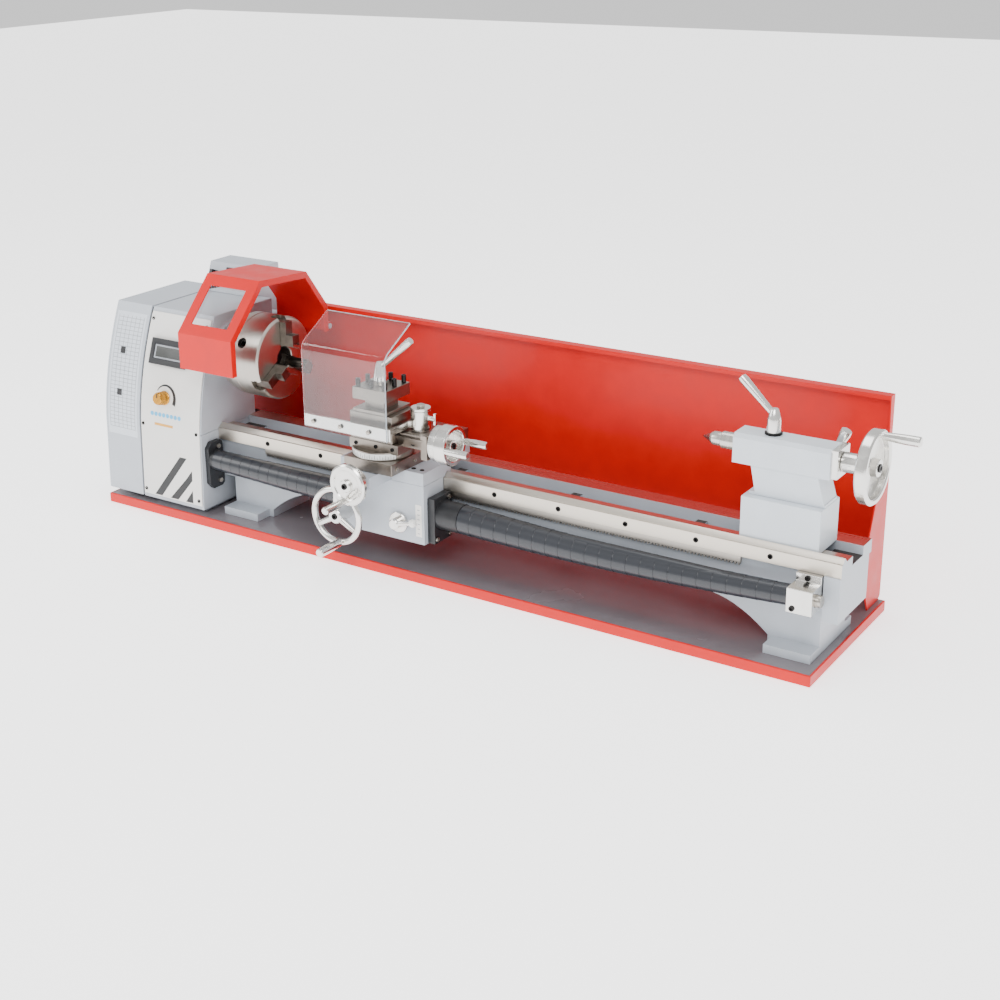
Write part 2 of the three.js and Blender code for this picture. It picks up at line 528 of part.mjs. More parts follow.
// ---------------------------------------------------------------- carriage
const feedZ = 143;                                // axis of the cross feed screw
const pinion = { x: 216, z: 88 };
const saddleSection = [[APRON.front, 131.5], [-43.6, 131.5], [-43.6, 130.3], [-40.9, 130.3],
  [BED.peakY, 137.1], [-27.1, 130.3], [62, 130.3], [62, 150], [APRON.front, 150]];
const wingBack = -25;                             // the wings end just behind the inverted V
const rearCorner = (x0, x1) => box(x0, x1, wingBack, 63, 129, 151);
add('saddle', cut(
  join(
    alongX(saddleSection, APRON.x0, APRON.x1),
    box(STACK.x - 20, STACK.x + 20, APRON.front - 50, APRON.front + 1, 132, 149),
  ),
  rearCorner(APRON.x0 - 1, STACK.x - 46),
  rearCorner(STACK.x + 48, APRON.x1 + 1),
  rodY(APRON.front - 51, 63, 5 + GAP, STACK.x, feedZ, 16),
), GREY_PAINT);
add('apron', cut(
  box(APRON.x0, APRON.x1, APRON.front, -44, APRON.bottom, 131.2),
  box(APRON.x0 + 6, APRON.x1 - 6, APRON.front + 8, -50, APRON.bottom - 1, 126),
  rodX(APRON.x0 - 1, APRON.x1 + 1, SCREW.radius + 1.5, SCREW.y, SCREW.z, 20),
  rodY(APRON.front - 1, APRON.front + 9, 6 + GAP, 190, 76, 20),
  rodY(APRON.front - 1, APRON.front + 9, 6 + GAP, 272, 72, 20),
  rodY(-51, -43, 5 + GAP, pinion.x, pinion.z, 20),
), GREY_PAINT);
add('apron_bracket', cut(
  join(
    box(APRON.x1 + GAP, APRON.x1 + 12, -84, -44, 46, 112),
    rodX(APRON.x1 + 11, collarEnd, 21, SCREW.y, SCREW.z - 2.5, 32),
  ),
  rodX(APRON.x1, collarEnd + 1, SCREW.radius + 1.5, SCREW.y, SCREW.z, 20),
), BLACK_PLASTIC);

// Carriage handwheel with three spokes and a crank grip, and the pinion under the rack.
const wheelY = -128;
const gripAlongY = (x, z, y0, y1, radius) => join(
  rodY(y0, y1, radius * 0.8, x, z, 16, radius),
  rodY(y1 - 2, y1 + 5, radius * 0.6, x, z, 16),
);
const wheelRim = cut(
  rodY(wheelY - 5, wheelY + 5, 43, 190, 76, 40),
  rodY(wheelY - 6, wheelY + 6, 35, 190, 76, 40),
);
const wheelSpokes = [90, 210, 330].map(THREE.MathUtils.degToRad).map((angle) => bar(
  [190, wheelY, 76], [190 + 37 * Math.cos(angle), wheelY, 76 + 37 * Math.sin(angle)], 4, 10));
add('carriage_handwheel', join(
  wheelRim,
  ...wheelSpokes,
  rodY(wheelY - 7, APRON.front - 4, 11, 190, 76, 24),
  rodY(APRON.front - 6, -74, 6, 190, 76, 20),
  gripAlongY(197, 38.5, -180, wheelY - 8, 6.5),
), ALUMINIUM);
add('rack_pinion', join(
  gear(13, 0, 7, pinion.x, pinion.z, 0, 4).applyMatrix4(
    new THREE.Matrix4().set(0, 1, 0, 0, -1, 0, 0, -36.4, 0, 0, 1, 0, 0, 0, 0, 1)),
  rodY(-50.5, -37, 5, pinion.x, pinion.z, 20),
), DARK_STEEL);

// Half-nut lever on its disc.
add('half_nut_lever', join(
  rodY(APRON.front - 5, APRON.front - GAP, 15, 272, 72, 28),
  rodY(APRON.front - 16, APRON.front - 4, 8, 272, 72, 20),
  rodY(APRON.front - 1, APRON.front + 6, 6, 272, 72, 20),
  bar([272, APRON.front - 11, 72], [299, APRON.front - 11, 78.5], 4, 12),
  new THREE.SphereGeometry(6, 16, 10).translate(302, APRON.front - 11, 79),
), ALUMINIUM);
const nutHalf = (side) => cut(
  box(256, 288, SCREW.y - 11, SCREW.y + 11, side > 0 ? SCREW.z + 1 : SCREW.z - 17,
    side > 0 ? SCREW.z + 17 : SCREW.z - 1),
  rodX(255, 289, SCREW.radius + 1.5, SCREW.y, SCREW.z, 20),
);
add('half_nut_upper', nutHalf(1), BRASS);
add('half_nut_lower', nutHalf(-1), BRASS);

// ---------------------------------------------------------------- cross slide
const slideFront = STACK.y - 43.5;
add('cross_slide', cut(
  box(STACK.x - 36, STACK.x + 45, slideFront, 64, 150 + GAP, 167),
  rodZ(160, 168, 5.3, STACK.x, STACK.y, 20),
), DARK_STEEL);
add('cross_handwheel', join(
  rodY(-168, -158, 29.5, STACK.x, feedZ, 40),
  rodY(-172, -157, 9, STACK.x, feedZ, 20),
  rodY(-158.5, -142.5, 17, STACK.x, feedZ, 28),
  rodY(-143, 55, 5, STACK.x, feedZ, 16),
  gripAlongY(238, 121, -214, -171.5, 5.5),
), ALUMINIUM);

// ---------------------------------------------------------------- compound slide and tool post
const compoundY0 = STACK.y - 28;
const compoundY1 = STACK.y + 28;
const feedAxisZ = 195.5;
const armTop = 205;                               // the arm that carries the shield's post
const tongue = (grow, z0, z1) => [[STACK.y - 15 - grow, z0], [STACK.y + 15 + grow, z0],
  [STACK.y + 20 + grow, z1], [STACK.y - 20 - grow, z1]];
add('compound_base', cut(
  join(
    rodZ(167 + GAP, 178, 43, STACK.x, STACK.y, 48),
    rodZ(162, 170, 5, STACK.x, STACK.y, 20),
    box(STACK.x - 37, STACK.x + 45, compoundY0, compoundY1, 176, 190),
    alongX(tongue(0, 189, 201.7), STACK.x - 36, STACK.x + 80),
    box(STACK.x + 40, STACK.x + 80, STACK.y - 15, STACK.y + 15, 186, armTop),
    box(STACK.x + 77, STACK.x + 87, STACK.y - 19, STACK.y + 19, 174, 208),
    rodX(STACK.x + 86, STACK.x + 91, 17, STACK.y, feedAxisZ, 28),
  ),
  rodX(STACK.x - 38, STACK.x + 92, 4.4, STACK.y, feedAxisZ, 16),
), DARK_STEEL);
add('top_slide', join(
  cut(box(STACK.x - 34, STACK.x + 36, compoundY0, compoundY1, 190 + GAP, 229),
    alongX(tongue(GAP, 189, 202), STACK.x - 35, STACK.x + 37)),
  rodZ(228, 272, 7, STACK.x, STACK.y, 20),
), GROUND_STEEL);
const crankGrip = (side) => {
  const y = STACK.y + side * 23.5;
  return join(
    rodX(STACK.x + 119, STACK.x + 153, 4.2, y, feedAxisZ, 14, 5.5),
    rodX(STACK.x + 152, STACK.x + 156, 4, y, feedAxisZ, 14),
  );
};
add('compound_handwheel', join(
  rodX(STACK.x - 30, STACK.x + 92, 4, STACK.y, feedAxisZ, 16),
  rodX(STACK.x + 91 + GAP, STACK.x + 103, 25, STACK.y, feedAxisZ, 36),
  cut(rodX(STACK.x + 102, STACK.x + 120, 28, STACK.y, feedAxisZ, 40),
    rodX(STACK.x + 106, STACK.x + 121, 21, STACK.y, feedAxisZ, 32)),
  rodX(STACK.x + 105, STACK.x + 118, 8, STACK.y, feedAxisZ, 20),
  crankGrip(-1),
  crankGrip(1),
), ALUMINIUM);

const postHalf = 28;
const clampPlaces = [[-1, -1], [0, -1], [1, -1], [1, 0], [1, 1], [0, 1], [-1, 1], [-1, 0]];
const clampScrews = clampPlaces.map(([sx, sy]) =>
  rodZ(255, 275, 3.4, STACK.x + sx * 22, STACK.y + sy * 22, 8));
add('tool_post', cut(
  join(
    box(STACK.x - postHalf, STACK.x + postHalf, STACK.y - postHalf, STACK.y + postHalf,
      247, 264),
    box(STACK.x - postHalf, STACK.x + postHalf, STACK.y - postHalf, STACK.y + postHalf,
      229 + GAP, 234),
    box(STACK.x - 16, STACK.x + 16, STACK.y - 16, STACK.y + 16, 233, 248),
    ...clampScrews,
  ),
  rodZ(228, 265, 8, STACK.x, STACK.y, 20),
), DARK_STEEL);
// The lever's clamp nut is hollow over the stud.
add('tool_post_lever', cut(
  join(
    rodZ(264 + GAP, 274, 10, STACK.x, STACK.y, 20),
    rodZ(273, 296, 10, STACK.x, STACK.y, 20, 5.5),
    bar([STACK.x + 1, STACK.y, 289], [STACK.x + 52, STACK.y, 333], 4, 14, 5.5),
  ),
  rodZ(263, 272.6, 7 + GAP, STACK.x, STACK.y, 20),
), ALUMINIUM);

// ---------------------------------------------------------------- chip shield
add('shield_post', join(
  rodZ(armTop + GAP, 207.5, 13, POST.x, POST.y, 28),
  rodZ(207, 235, 8, POST.x, POST.y, 24),
  rodZ(234, 238, 14, POST.x, POST.y, 28),
  rodZ(237, 242, 6, POST.x, POST.y, 6),
), ALUMINIUM);
add('shield_bar', cut(
  join(
    box(139, POST.x - 14, -123.7, -119.7, 200, 217),
    box(POST.x - 18, POST.x - 14, -123.7, POST.y + 4, 208, 217),
    box(POST.x - 18, POST.x - 9, POST.y - 8, POST.y + 4, 208, 217),
    rodZ(207.5 + GAP, 233.7, 14, POST.x, POST.y, 28),
    rodX(POST.x + 10, POST.x + 24, 3.5, POST.y, 224, 12),
    box(POST.x + 22, POST.x + 25, POST.y - 2, POST.y + 2, 216, 232),
  ),
  rodZ(206, 235, 8.3, POST.x, POST.y, 24),
), GROUND_STEEL);
const shieldSection = [[-127, 199], [-127, 318], [-66, 352], [-64.5, 349.4], [-124, 316.2],
  [-124, 199]];
add('chip_shield', alongX(shieldSection, 139, 280), CLEAR_SHEET);

// ---------------------------------------------------------------- tailstock
const railGroove = [[-42, 129], [-40.9, 130.3], [BED.peakY, 137.1], [-27.1, 130.3], [-26, 129]];
add('tailstock_base', cut(
  join(
    box(753, 858, -31, 29, BED.flat + GAP, 188),
    box(770, 842, -7.5, 27.5, 121, 131),
  ),
  alongX(railGroove, 750, 860),
), LIGHT_PAINT);
add('tailstock_body', cut(
  join(
    alongY([[767, 188.3], [858, 188.3], [846, 228], [759, 228]], -20, 20),
    box(759, 858, -20, 20, 188.3, 192),
    alongX([[-TAIL.half, 226], [TAIL.half, 226], [TAIL.half, 255], [TAIL.half - 9, 264],
      [-TAIL.half + 5, 264], [-TAIL.half, 259]], TAIL.x0, TAIL.x1),
    box(TAIL.x1 - 1, 870, -19, 19, 227, 263),
  ),
  rodX(TAIL.x0 - 1, TAIL.x1 - 6, 11 + GAP, 0, SPINDLE_Z, 28),
  rodX(TAIL.x1 - 7, 871, 5 + GAP, 0, SPINDLE_Z, 20),
  rodZ(250, 265, 5.3, 779, 0, 20),
), LIGHT_PAINT);
add('quill', cut(
  rodX(712, 850, 11, 0, SPINDLE_Z, 28),
  rodX(762, 851, 6, 0, SPINDLE_Z, 20),
  rodX(711, 762, 7, 0, SPINDLE_Z, 20),
), GROUND_STEEL);
add('dead_centre', join(
  rodX(700, 712 - GAP, 9, 0, SPINDLE_Z, 28),
  rodX(684, 700.1, 0.5, 0, SPINDLE_Z, 28, 9),
  rodX(711, 760, 6.6, 0, SPINDLE_Z, 20, 5.4),
), GROUND_STEEL);
add('tailstock_handwheel', join(
  rodX(800, 872, 5, 0, SPINDLE_Z, 16),
  rodX(870 + GAP, 893, 12.5, 0, SPINDLE_Z, 28),
  rodX(892, 901, 12.5, 0, SPINDLE_Z, 40, 34),
  cut(rodX(899, 914, 46.5, 0, SPINDLE_Z, 48), rodX(905, 915, 38, 0, SPINDLE_Z, 40)),
  rodX(900, 915, 11, 0, SPINDLE_Z, 24),
  rodX(913, 918, 4.5, 0, 286, 14),
  rodX(917, 962, 4.6, 0, 286, 16, 6.5),
), ALUMINIUM);
add('quill_lock_lever', join(
  rodZ(257.5, 266, 5, 779, 0, 16),
  rodZ(264 + GAP, 284, 9, 779, 0, 24),
  rodZ(283.5, 297, 9, 779, 0, 24, 5),
  bar([777, 0, 290], [733, 0, 331], 4, 14, 6),
), ALUMINIUM);
add('tailstock_clamp_lever', join(
  rodY(TAIL.half + GAP, TAIL.half + 12, 7, 848, 246, 20),
  bar([848, TAIL.half + 8, 246], [861, TAIL.half + 8, 275], 5, 14, 7.5),
), ALUMINIUM);

// ---------------------------------------------------------------- origin
const bounds = new THREE.Box3().setFromObject(lathe);
const middle = bounds.getCenter(new THREE.Vector3());
lathe.position.set(-middle.x, -middle.y, -bounds.min.z);

export default lathe;
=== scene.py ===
import json
import math

import bmesh
import bpy
from mathutils import Matrix, Vector

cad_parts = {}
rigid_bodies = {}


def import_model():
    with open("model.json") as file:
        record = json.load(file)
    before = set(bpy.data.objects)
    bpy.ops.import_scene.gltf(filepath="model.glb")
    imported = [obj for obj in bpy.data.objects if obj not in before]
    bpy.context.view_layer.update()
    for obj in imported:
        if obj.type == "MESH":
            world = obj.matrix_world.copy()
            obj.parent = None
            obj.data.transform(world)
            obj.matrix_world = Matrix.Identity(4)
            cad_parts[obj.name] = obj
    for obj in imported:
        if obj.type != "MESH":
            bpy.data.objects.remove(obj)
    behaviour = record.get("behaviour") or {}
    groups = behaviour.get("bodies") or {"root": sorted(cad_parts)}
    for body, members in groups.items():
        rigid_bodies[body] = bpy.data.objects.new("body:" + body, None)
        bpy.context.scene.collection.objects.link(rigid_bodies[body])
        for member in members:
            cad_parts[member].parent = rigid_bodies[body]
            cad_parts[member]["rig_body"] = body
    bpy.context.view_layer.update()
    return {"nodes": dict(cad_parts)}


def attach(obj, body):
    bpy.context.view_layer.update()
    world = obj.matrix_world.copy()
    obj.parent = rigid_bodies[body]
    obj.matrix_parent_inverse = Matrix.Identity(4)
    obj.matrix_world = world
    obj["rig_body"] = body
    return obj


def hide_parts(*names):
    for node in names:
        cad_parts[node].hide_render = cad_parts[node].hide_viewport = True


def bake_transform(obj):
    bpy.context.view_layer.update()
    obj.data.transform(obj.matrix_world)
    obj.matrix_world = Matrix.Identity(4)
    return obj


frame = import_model()

# ------------------------------------------------------------------ frame and sizes (millimetres)
# Shapes are written with X = 0 at the chuck's face, Y = 0 and Z = 245 on the spindle axis.
SHIFT = Vector((-328.5, 23.85, 15.0))
TO_ROW = Matrix.Scale(0.001, 4) @ Matrix.Translation(SHIFT)
SPINDLE_Z = 245.0
SCREW_Y, SCREW_Z = -62.0, 86.0
STACK_X, STACK_Y = 240.0, -81.0
POST_X, POST_Y = 298.0, -71.0
FEED_Z = 143.0
COMPOUND_Z = 195.5


# ------------------------------------------------------------------ materials
def linear(red, green, blue):
    def channel(value):
        value /= 255.0
        return value / 12.92 if value <= 0.04045 else ((value + 0.055) / 1.055) ** 2.4
    return (channel(red), channel(green), channel(blue), 1.0)


def radial_vector(nodes, links, coordinates, axis, centre):
    """Distance from an axis and place along it, so that noise turns into lathe marks."""
    split = nodes.new("ShaderNodeSeparateXYZ")
    links.new(coordinates, split.inputs[0])
    across = [i for i in range(3) if i != axis]
    squares = []
    for i, middle in zip(across, centre):
        away = nodes.new("ShaderNodeMath")
        away.operation = "SUBTRACT"
        links.new(split.outputs[i], away.inputs[0])
        away.inputs[1].default_value = middle
        square = nodes.new("ShaderNodeMath")
        square.operation = "POWER"
        links.new(away.outputs[0], square.inputs[0])
        square.inputs[1].default_value = 2.0
        squares.append(square)
    total = nodes.new("ShaderNodeMath")
    links.new(squares[0].outputs[0], total.inputs[0])
    links.new(squares[1].outputs[0], total.inputs[1])
    root = nodes.new("ShaderNodeMath")
    root.operation = "SQRT"
    links.new(total.outputs[0], root.inputs[0])
    join = nodes.new("ShaderNodeCombineXYZ")
    links.new(root.outputs[0], join.inputs[0])
    links.new(split.outputs[axis], join.inputs[1])
    return join.outputs[0]


def surface(name, color, rough, metal, vary=0.05, rough_vary=0.06, patch=0.03, grain=0.0012,
            depth=0.00004, stretch=(1, 1, 1), coat=0.0, turned=None, clear=0.0, shine=0.5, glow=0.0):
    """Principled surface with broad colour and gloss variation and a fine relief."""
    material = bpy.data.materials.new(name)
    material.use_nodes = True
    nodes, links = material.node_tree.nodes, material.node_tree.links
    shader = nodes["Principled BSDF"]
    shader.inputs["Metallic"].default_value = metal
    shader.inputs["Coat Weight"].default_value = coat
    shader.inputs["Coat Roughness"].default_value = 0.08
    shader.inputs["Transmission Weight"].default_value = clear
    shader.inputs["Specular IOR Level"].default_value = shine
    shader.inputs["Emission Color"].default_value = (1.0, 1.0, 1.0, 1.0)
    shader.inputs["Emission Strength"].default_value = glow
    coordinates = nodes.new("ShaderNodeTexCoord").outputs["Object"]
    if turned:
        coordinates = radial_vector(nodes, links, coordinates, *turned)
    mapping = nodes.new("ShaderNodeMapping")
    mapping.inputs["Scale"].default_value = stretch
    links.new(coordinates, mapping.inputs["Vector"])

    broad = nodes.new("ShaderNodeTexNoise")
    broad.inputs["Scale"].default_value = 1.0 / patch
    broad.inputs["Detail"].default_value = 4.0
    links.new(mapping.outputs[0], broad.inputs["Vector"])
    ramp = nodes.new("ShaderNodeValToRGB")
    ramp.color_ramp.elements[0].position = 0.3
    ramp.color_ramp.elements[1].position = 0.7
    base = linear(*color)
    ramp.color_ramp.elements[0].color = tuple(c * (1 - vary) for c in base[:3]) + (1.0,)
    ramp.color_ramp.elements[1].color = tuple(min(c * (1 + vary), 1) for c in base[:3]) + (1.0,)
    links.new(broad.outputs["Fac"], ramp.inputs["Fac"])
    links.new(ramp.outputs["Color"], shader.inputs["Base Color"])

    gloss = nodes.new("ShaderNodeMapRange")
    gloss.inputs["From Min"].default_value = 0.3
    gloss.inputs["From Max"].default_value = 0.7
    gloss.inputs["To Min"].default_value = max(rough - rough_vary, 0.0)
    gloss.inputs["To Max"].default_value = rough + rough_vary
    links.new(broad.outputs["Fac"], gloss.inputs["Value"])
    links.new(gloss.outputs[0], shader.inputs["Roughness"])

    fine = nodes.new("ShaderNodeTexNoise")
    fine.inputs["Scale"].default_value = 1.0 / grain
    fine.inputs["Detail"].default_value = 2.0
    links.new(mapping.outputs[0], fine.inputs["Vector"])
    bump = nodes.new("ShaderNodeBump")
    bump.inputs["Strength"].default_value = 0.6
    bump.inputs["Distance"].default_value = depth
    links.new(fine.outputs["Fac"], bump.inputs["Height"])
    links.new(bump.outputs[0], shader.inputs["Normal"])
    return material


def axis_in_row(y, z):
    return ((y + SHIFT.y) * 0.001, (z + SHIFT.z) * 0.001)


MAIN_AXIS = (0, axis_in_row(0, SPINDLE_Z))
RED = surface("red_paint", (206, 8, 3), 0.42, 0.0, vary=0.05, coat=0.06, depth=0.00003, shine=0.3)
# Grey glossy colour for the tray floor: painted sheen that stands in for the white reflection on the
# red-painted tray.
TRAY_SHEEN_GREY = surface("tray_floor_painted_sheen", (112, 106, 110), 0.22, 0.0, vary=0.08, patch=0.12, coat=0.3)
GREY = surface("grey_paint", (176, 182, 190), 0.42, 0.0, vary=0.04, grain=0.0016, depth=0.00006, coat=0.15)
COVER = surface("cover_paint", (182, 188, 196), 0.45, 0.0, vary=0.03, grain=0.0014, coat=0.1)
LIGHT = surface("light_paint", (206, 213, 220), 0.42, 0.0, vary=0.03, grain=0.0018, depth=0.00006, coat=0.15)
WHITE = surface("panel_white", (228, 226, 222), 0.35, 0.0, vary=0.02, coat=0.2)
STICKER = surface("sticker", (208, 214, 222), 0.5, 0.0, vary=0.04, patch=0.01)
PRINT = surface("black_print", (30, 30, 32), 0.5, 0.0, vary=0.15, patch=0.008)
FAINT = surface("grey_print", (150, 154, 160), 0.5, 0.0, vary=0.15, patch=0.008)
BLUE = surface("blue_print", (84, 178, 226), 0.45, 0.0, vary=0.08, patch=0.008)
AMBER = surface("amber_print", (222, 160, 60), 0.45, 0.0, vary=0.08, patch=0.008)
BLACK = surface("black_plastic", (30, 31, 34), 0.42, 0.0, vary=0.15, grain=0.0007, depth=0.00004)
TUBE = surface("spring_band", (30, 33, 40), 0.34, 0.0, vary=0.06, rough_vary=0.03, patch=0.2, depth=0.000004,
               coat=0.25)
OXIDE = surface("black_oxide", (34, 33, 33), 0.38, 0.75, vary=0.25, patch=0.006)
STEEL = surface("ground_steel", (178, 172, 164), 0.30, 1.0, vary=0.10, patch=0.05, grain=0.0009,
                stretch=(0.12, 1, 1), depth=0.00002)
RAIL = surface("rail_steel", (206, 198, 186), 0.30, 1.0, vary=0.08, patch=0.06, grain=0.0009,
               stretch=(0.05, 1, 1), depth=0.00002)
SLIDE = surface("slide_steel", (142, 134, 126), 0.33, 1.0, vary=0.16, patch=0.02, grain=0.0008,
                stretch=(1, 0.2, 1), depth=0.00002)
CHUCK = surface("chuck_steel", (176, 170, 162), 0.32, 1.0, vary=0.04, rough_vary=0.03, patch=0.01,
                grain=0.0004, turned=MAIN_AXIS, depth=0.000004)
JAW = surface("jaw_steel", (112, 106, 100), 0.34, 1.0, vary=0.2, patch=0.01)
TURNED = surface("turned_steel", (196, 192, 186), 0.26, 1.0, vary=0.05, rough_vary=0.03, patch=0.006,
                 grain=0.0004, turned=MAIN_AXIS, depth=0.000005)
# Dark iron colour for the channel between the bed rails; part of its darkness is painted shade of that
# recess.
CHANNEL_IRON_AND_SHADE = surface("channel_steel_and_shade", (70, 62, 58), 0.45, 0.6, vary=0.15, patch=0.03, stretch=(0.1, 1, 1))
CAST = surface("cast_iron", (98, 98, 97), 0.6, 0.7, vary=0.18, patch=0.01, grain=0.002, depth=0.0001)
CHROME = surface("polished_aluminium", (222, 220, 216), 0.2, 1.0, vary=0.05, patch=0.01,
                 grain=0.0006, depth=0.00001)
GOLD = surface("gold_anodised", (204, 146, 56), 0.25, 1.0, vary=0.1, patch=0.004)
BRASS = surface("brass", (198, 164, 92), 0.3, 1.0, vary=0.1, patch=0.01)
IVORY = surface("ivory_ball", (238, 238, 234), 0.2, 0.0, vary=0.03, coat=0.5)
RUBBER = surface("belt_rubber", (26, 26, 26), 0.7, 0.0, vary=0.15, depth=0.0001)
GLASS = surface("clear_sheet", (250, 252, 253), 0.0, 0.0, vary=0.006, rough_vary=0.004, patch=0.2,
                depth=0.0, clear=1.0)
# Whitish, part-clear colour for the shield's sheet edges: painted highlight along the edges of the clear
# pane.
EDGE_HIGHLIGHT = surface("sheet_edge_highlight", (226, 236, 242), 0.3, 0.0, vary=0.04, patch=0.02, coat=0.3, clear=0.4)
LCD = surface("display_glass", (52, 54, 52), 0.12, 0.0, vary=0.08, patch=0.02, coat=0.5)
RED_KEY = surface("red_key", (196, 30, 20), 0.3, 0.0, vary=0.06, coat=0.3)
GREEN_KEY = surface("green_key", (96, 168, 60), 0.3, 0.0, vary=0.06, coat=0.3)


# ------------------------------------------------------------------ shape tools
def basis(axis):
    """Rotation that takes Z onto the given direction."""
    return Vector(axis).normalized().to_track_quat("Z", "Y").to_matrix().to_4x4()


class Shape:
    """Closed shells gathered in one mesh, in millimetres."""

    def __init__(self):
        self.bm = bmesh.new()

    def box(self, x0, x1, y0, y1, z0, z1):
        corners = [self.bm.verts.new((x, y, z)) for x in (x0, x1) for y in (y0, y1) for z in (z0, z1)]
        for face in ((0, 1, 3, 2), (4, 6, 7, 5), (0, 4, 5, 1), (2, 3, 7, 6), (0, 2, 6, 4), (1, 5, 7, 3)):
            self.bm.faces.new([corners[i] for i in face])
        return self

    def turned(self, profile, origin, axis, sides=64):
        """(radius, height) points turned about the axis; the ends close on it or with a disc."""
        place = Matrix.Translation(origin) @ basis(axis)
        rings = []
        for radius, height in profile:
            if radius < 1e-6:
                rings.append([self.bm.verts.new(place @ Vector((0, 0, height)))])
                continue
            rings.append([self.bm.verts.new(place @ Vector((
                radius * math.cos(2 * math.pi * i / sides),
                radius * math.sin(2 * math.pi * i / sides), height))) for i in range(sides)])
        for low, high in zip(rings, rings[1:]):
            for i in range(sides):
                j = (i + 1) % sides
                if len(low) == 1 and len(high) == 1:
                    continue
                if len(low) == 1:
                    self.bm.faces.new((low[0], high[i], high[j]))
                elif len(high) == 1:
                    self.bm.faces.new((low[i], low[j], high[0]))
                else:
                    self.bm.faces.new((low[i], low[j], high[j], high[i]))
        if profile[0] != profile[-1]:
            for ring in (rings[0], rings[-1]):
                if len(ring) > 1:
                    self.bm.faces.new(ring)
        else:
            for a, b in zip(rings[0], rings[-1]):
                bmesh.ops.weld_verts(self.bm, targetmap={b: a})
        return self

    def rod(self, start, end, radius, end_radius=None, sides=32):
        start, end = Vector(start), Vector(end)
        last = radius if end_radius is None else end_radius
        return self.turned([(radius, 0), (last, (end - start).length)], start, end - start, sides)

    def prism(self, points, axis, low, high):
        """A polygon of two coordinates, in the order of the other axes, run along one axis."""
        def place(a, b, t):
            return {0: (t, a, b), 1: (a, t, b), 2: (a, b, t)}[axis]
        ends = [[self.bm.verts.new(place(a, b, t)) for a, b in points] for t in (low, high)]
        self.bm.faces.new(ends[0])
        self.bm.faces.new(ends[1])
        for i in range(len(points)):
            j = (i + 1) % len(points)
            self.bm.faces.new((ends[0][i], ends[0][j], ends[1][j], ends[1][i]))
        return self

    def ring(self, centre, normal, radius, thick, sides=72, around=16):
        """A torus whose section may be oval: thick is (radial, axial)."""
        place = Matrix.Translation(centre) @ basis(normal)
        radial, axial = thick
        grid = [[self.bm.verts.new(place @ Vector((
            (radius + radial * math.cos(b)) * math.cos(a),
            (radius + radial * math.cos(b)) * math.sin(a), axial * math.sin(b))))
            for b in (2 * math.pi * j / around for j in range(around))]
            for a in (2 * math.pi * i / sides for i in range(sides))]
        for i in range(sides):
            for j in range(around):
                self.bm.faces.new((grid[i][j], grid[(i + 1) % sides][j],
                                   grid[(i + 1) % sides][(j + 1) % around], grid[i][(j + 1) % around]))
        return self

    def ball(self, centre, radius):
        steps = 12
        profile = [(radius * math.sin(math.pi * i / steps), -radius * math.cos(math.pi * i / steps))
                   for i in range(steps + 1)]
        profile[0], profile[-1] = (0, -radius), (0, radius)
        return self.turned(profile, centre, (0, 0, 1), 24)

    def moved(self, matrix):
        bmesh.ops.transform(self.bm, matrix=matrix, verts=self.bm.verts)
        return self

    def done(self, name, body, material, bevel=0.3, replaces=(), sharp=35):
        bmesh.ops.recalc_face_normals(self.bm, faces=self.bm.faces)
        bmesh.ops.transform(self.bm, matrix=TO_ROW, verts=self.bm.verts)
        return finished(self.bm, name, body, material, bevel, replaces, sharp)


def finished(bm, name, body, material, bevel, replaces, sharp=35):
    mesh = bpy.data.meshes.new(name)
    bm.to_mesh(mesh)
    bm.free()
    mesh.polygons.foreach_set("use_smooth", [True] * len(mesh.polygons))
    mesh.set_sharp_from_angle(angle=math.radians(sharp))
    piece = bpy.data.objects.new(name, mesh)
    bpy.context.scene.collection.objects.link(piece)
    for one in material if isinstance(material, (list, tuple)) else [material]:
        mesh.materials.append(one)
    if bevel:
        edge = piece.modifiers.new("edges", "BEVEL")
        edge.width = bevel * 0.001
        edge.segments = 2
        edge.limit_method = "ANGLE"
        edge.angle_limit = math.radians(40)
        edge.harden_normals = True
    if body:
        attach(piece, body)
    for node in replaces:
        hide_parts(node)
    return piece


def dressed(node, materials, bevel, choose=None):
    """The CAD node's own shape with softened edges; choose gives each face one of the materials."""
    source = frame["nodes"][node]
    bm = bmesh.new()
    bm.from_mesh(source.data)
    bmesh.ops.remove_doubles(bm, verts=bm.verts, dist=1e-6)
    bmesh.ops.dissolve_limit(bm, angle_limit=math.radians(0.4), verts=bm.verts, edges=bm.edges)
    if choose:
        for face in bm.faces:
            middle = face.calc_center_median() * 1000 - SHIFT
            face.material_index = choose(middle, face.normal)
    return finished(bm, node + "_shape", source["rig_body"], materials, bevel, [node])


def carved(piece, cutters):
    """Cuts other pieces out of one and keeps the result."""
    for i, cutter in enumerate(cutters):
        cut = piece.modifiers.new(f"cut{i}", "BOOLEAN")
        cut.operation = "DIFFERENCE"
        cut.solver = "EXACT"
        cut.object = cutter
    evaluated = piece.evaluated_get(bpy.context.evaluated_depsgraph_get())
    mesh = bpy.data.meshes.new_from_object(evaluated)
    mesh.polygons.foreach_set("use_smooth", [True] * len(mesh.polygons))
    mesh.set_sharp_from_angle(angle=math.radians(30))
    piece.modifiers.clear()
    piece.data = mesh
    for cutter in cutters:
        bpy.data.objects.remove(cutter)
    return piece


def front_y(z):
    """The leaning front of the headstock, seen from the side."""
    if z < 127:
        return -81 - 5 * (127 - z) / 119
    low, high = 0.0, 1.0
    for _ in range(30):
        t = (low + high) / 2
        height = (1 - t) ** 2 * 302 + 2 * t * (1 - t) * 210 + t * t * 127
        low, high = (t, high) if height > z else (low, t)
    return (1 - t) ** 2 * -33 + 2 * t * (1 - t) * -74.4 + t * t * -81


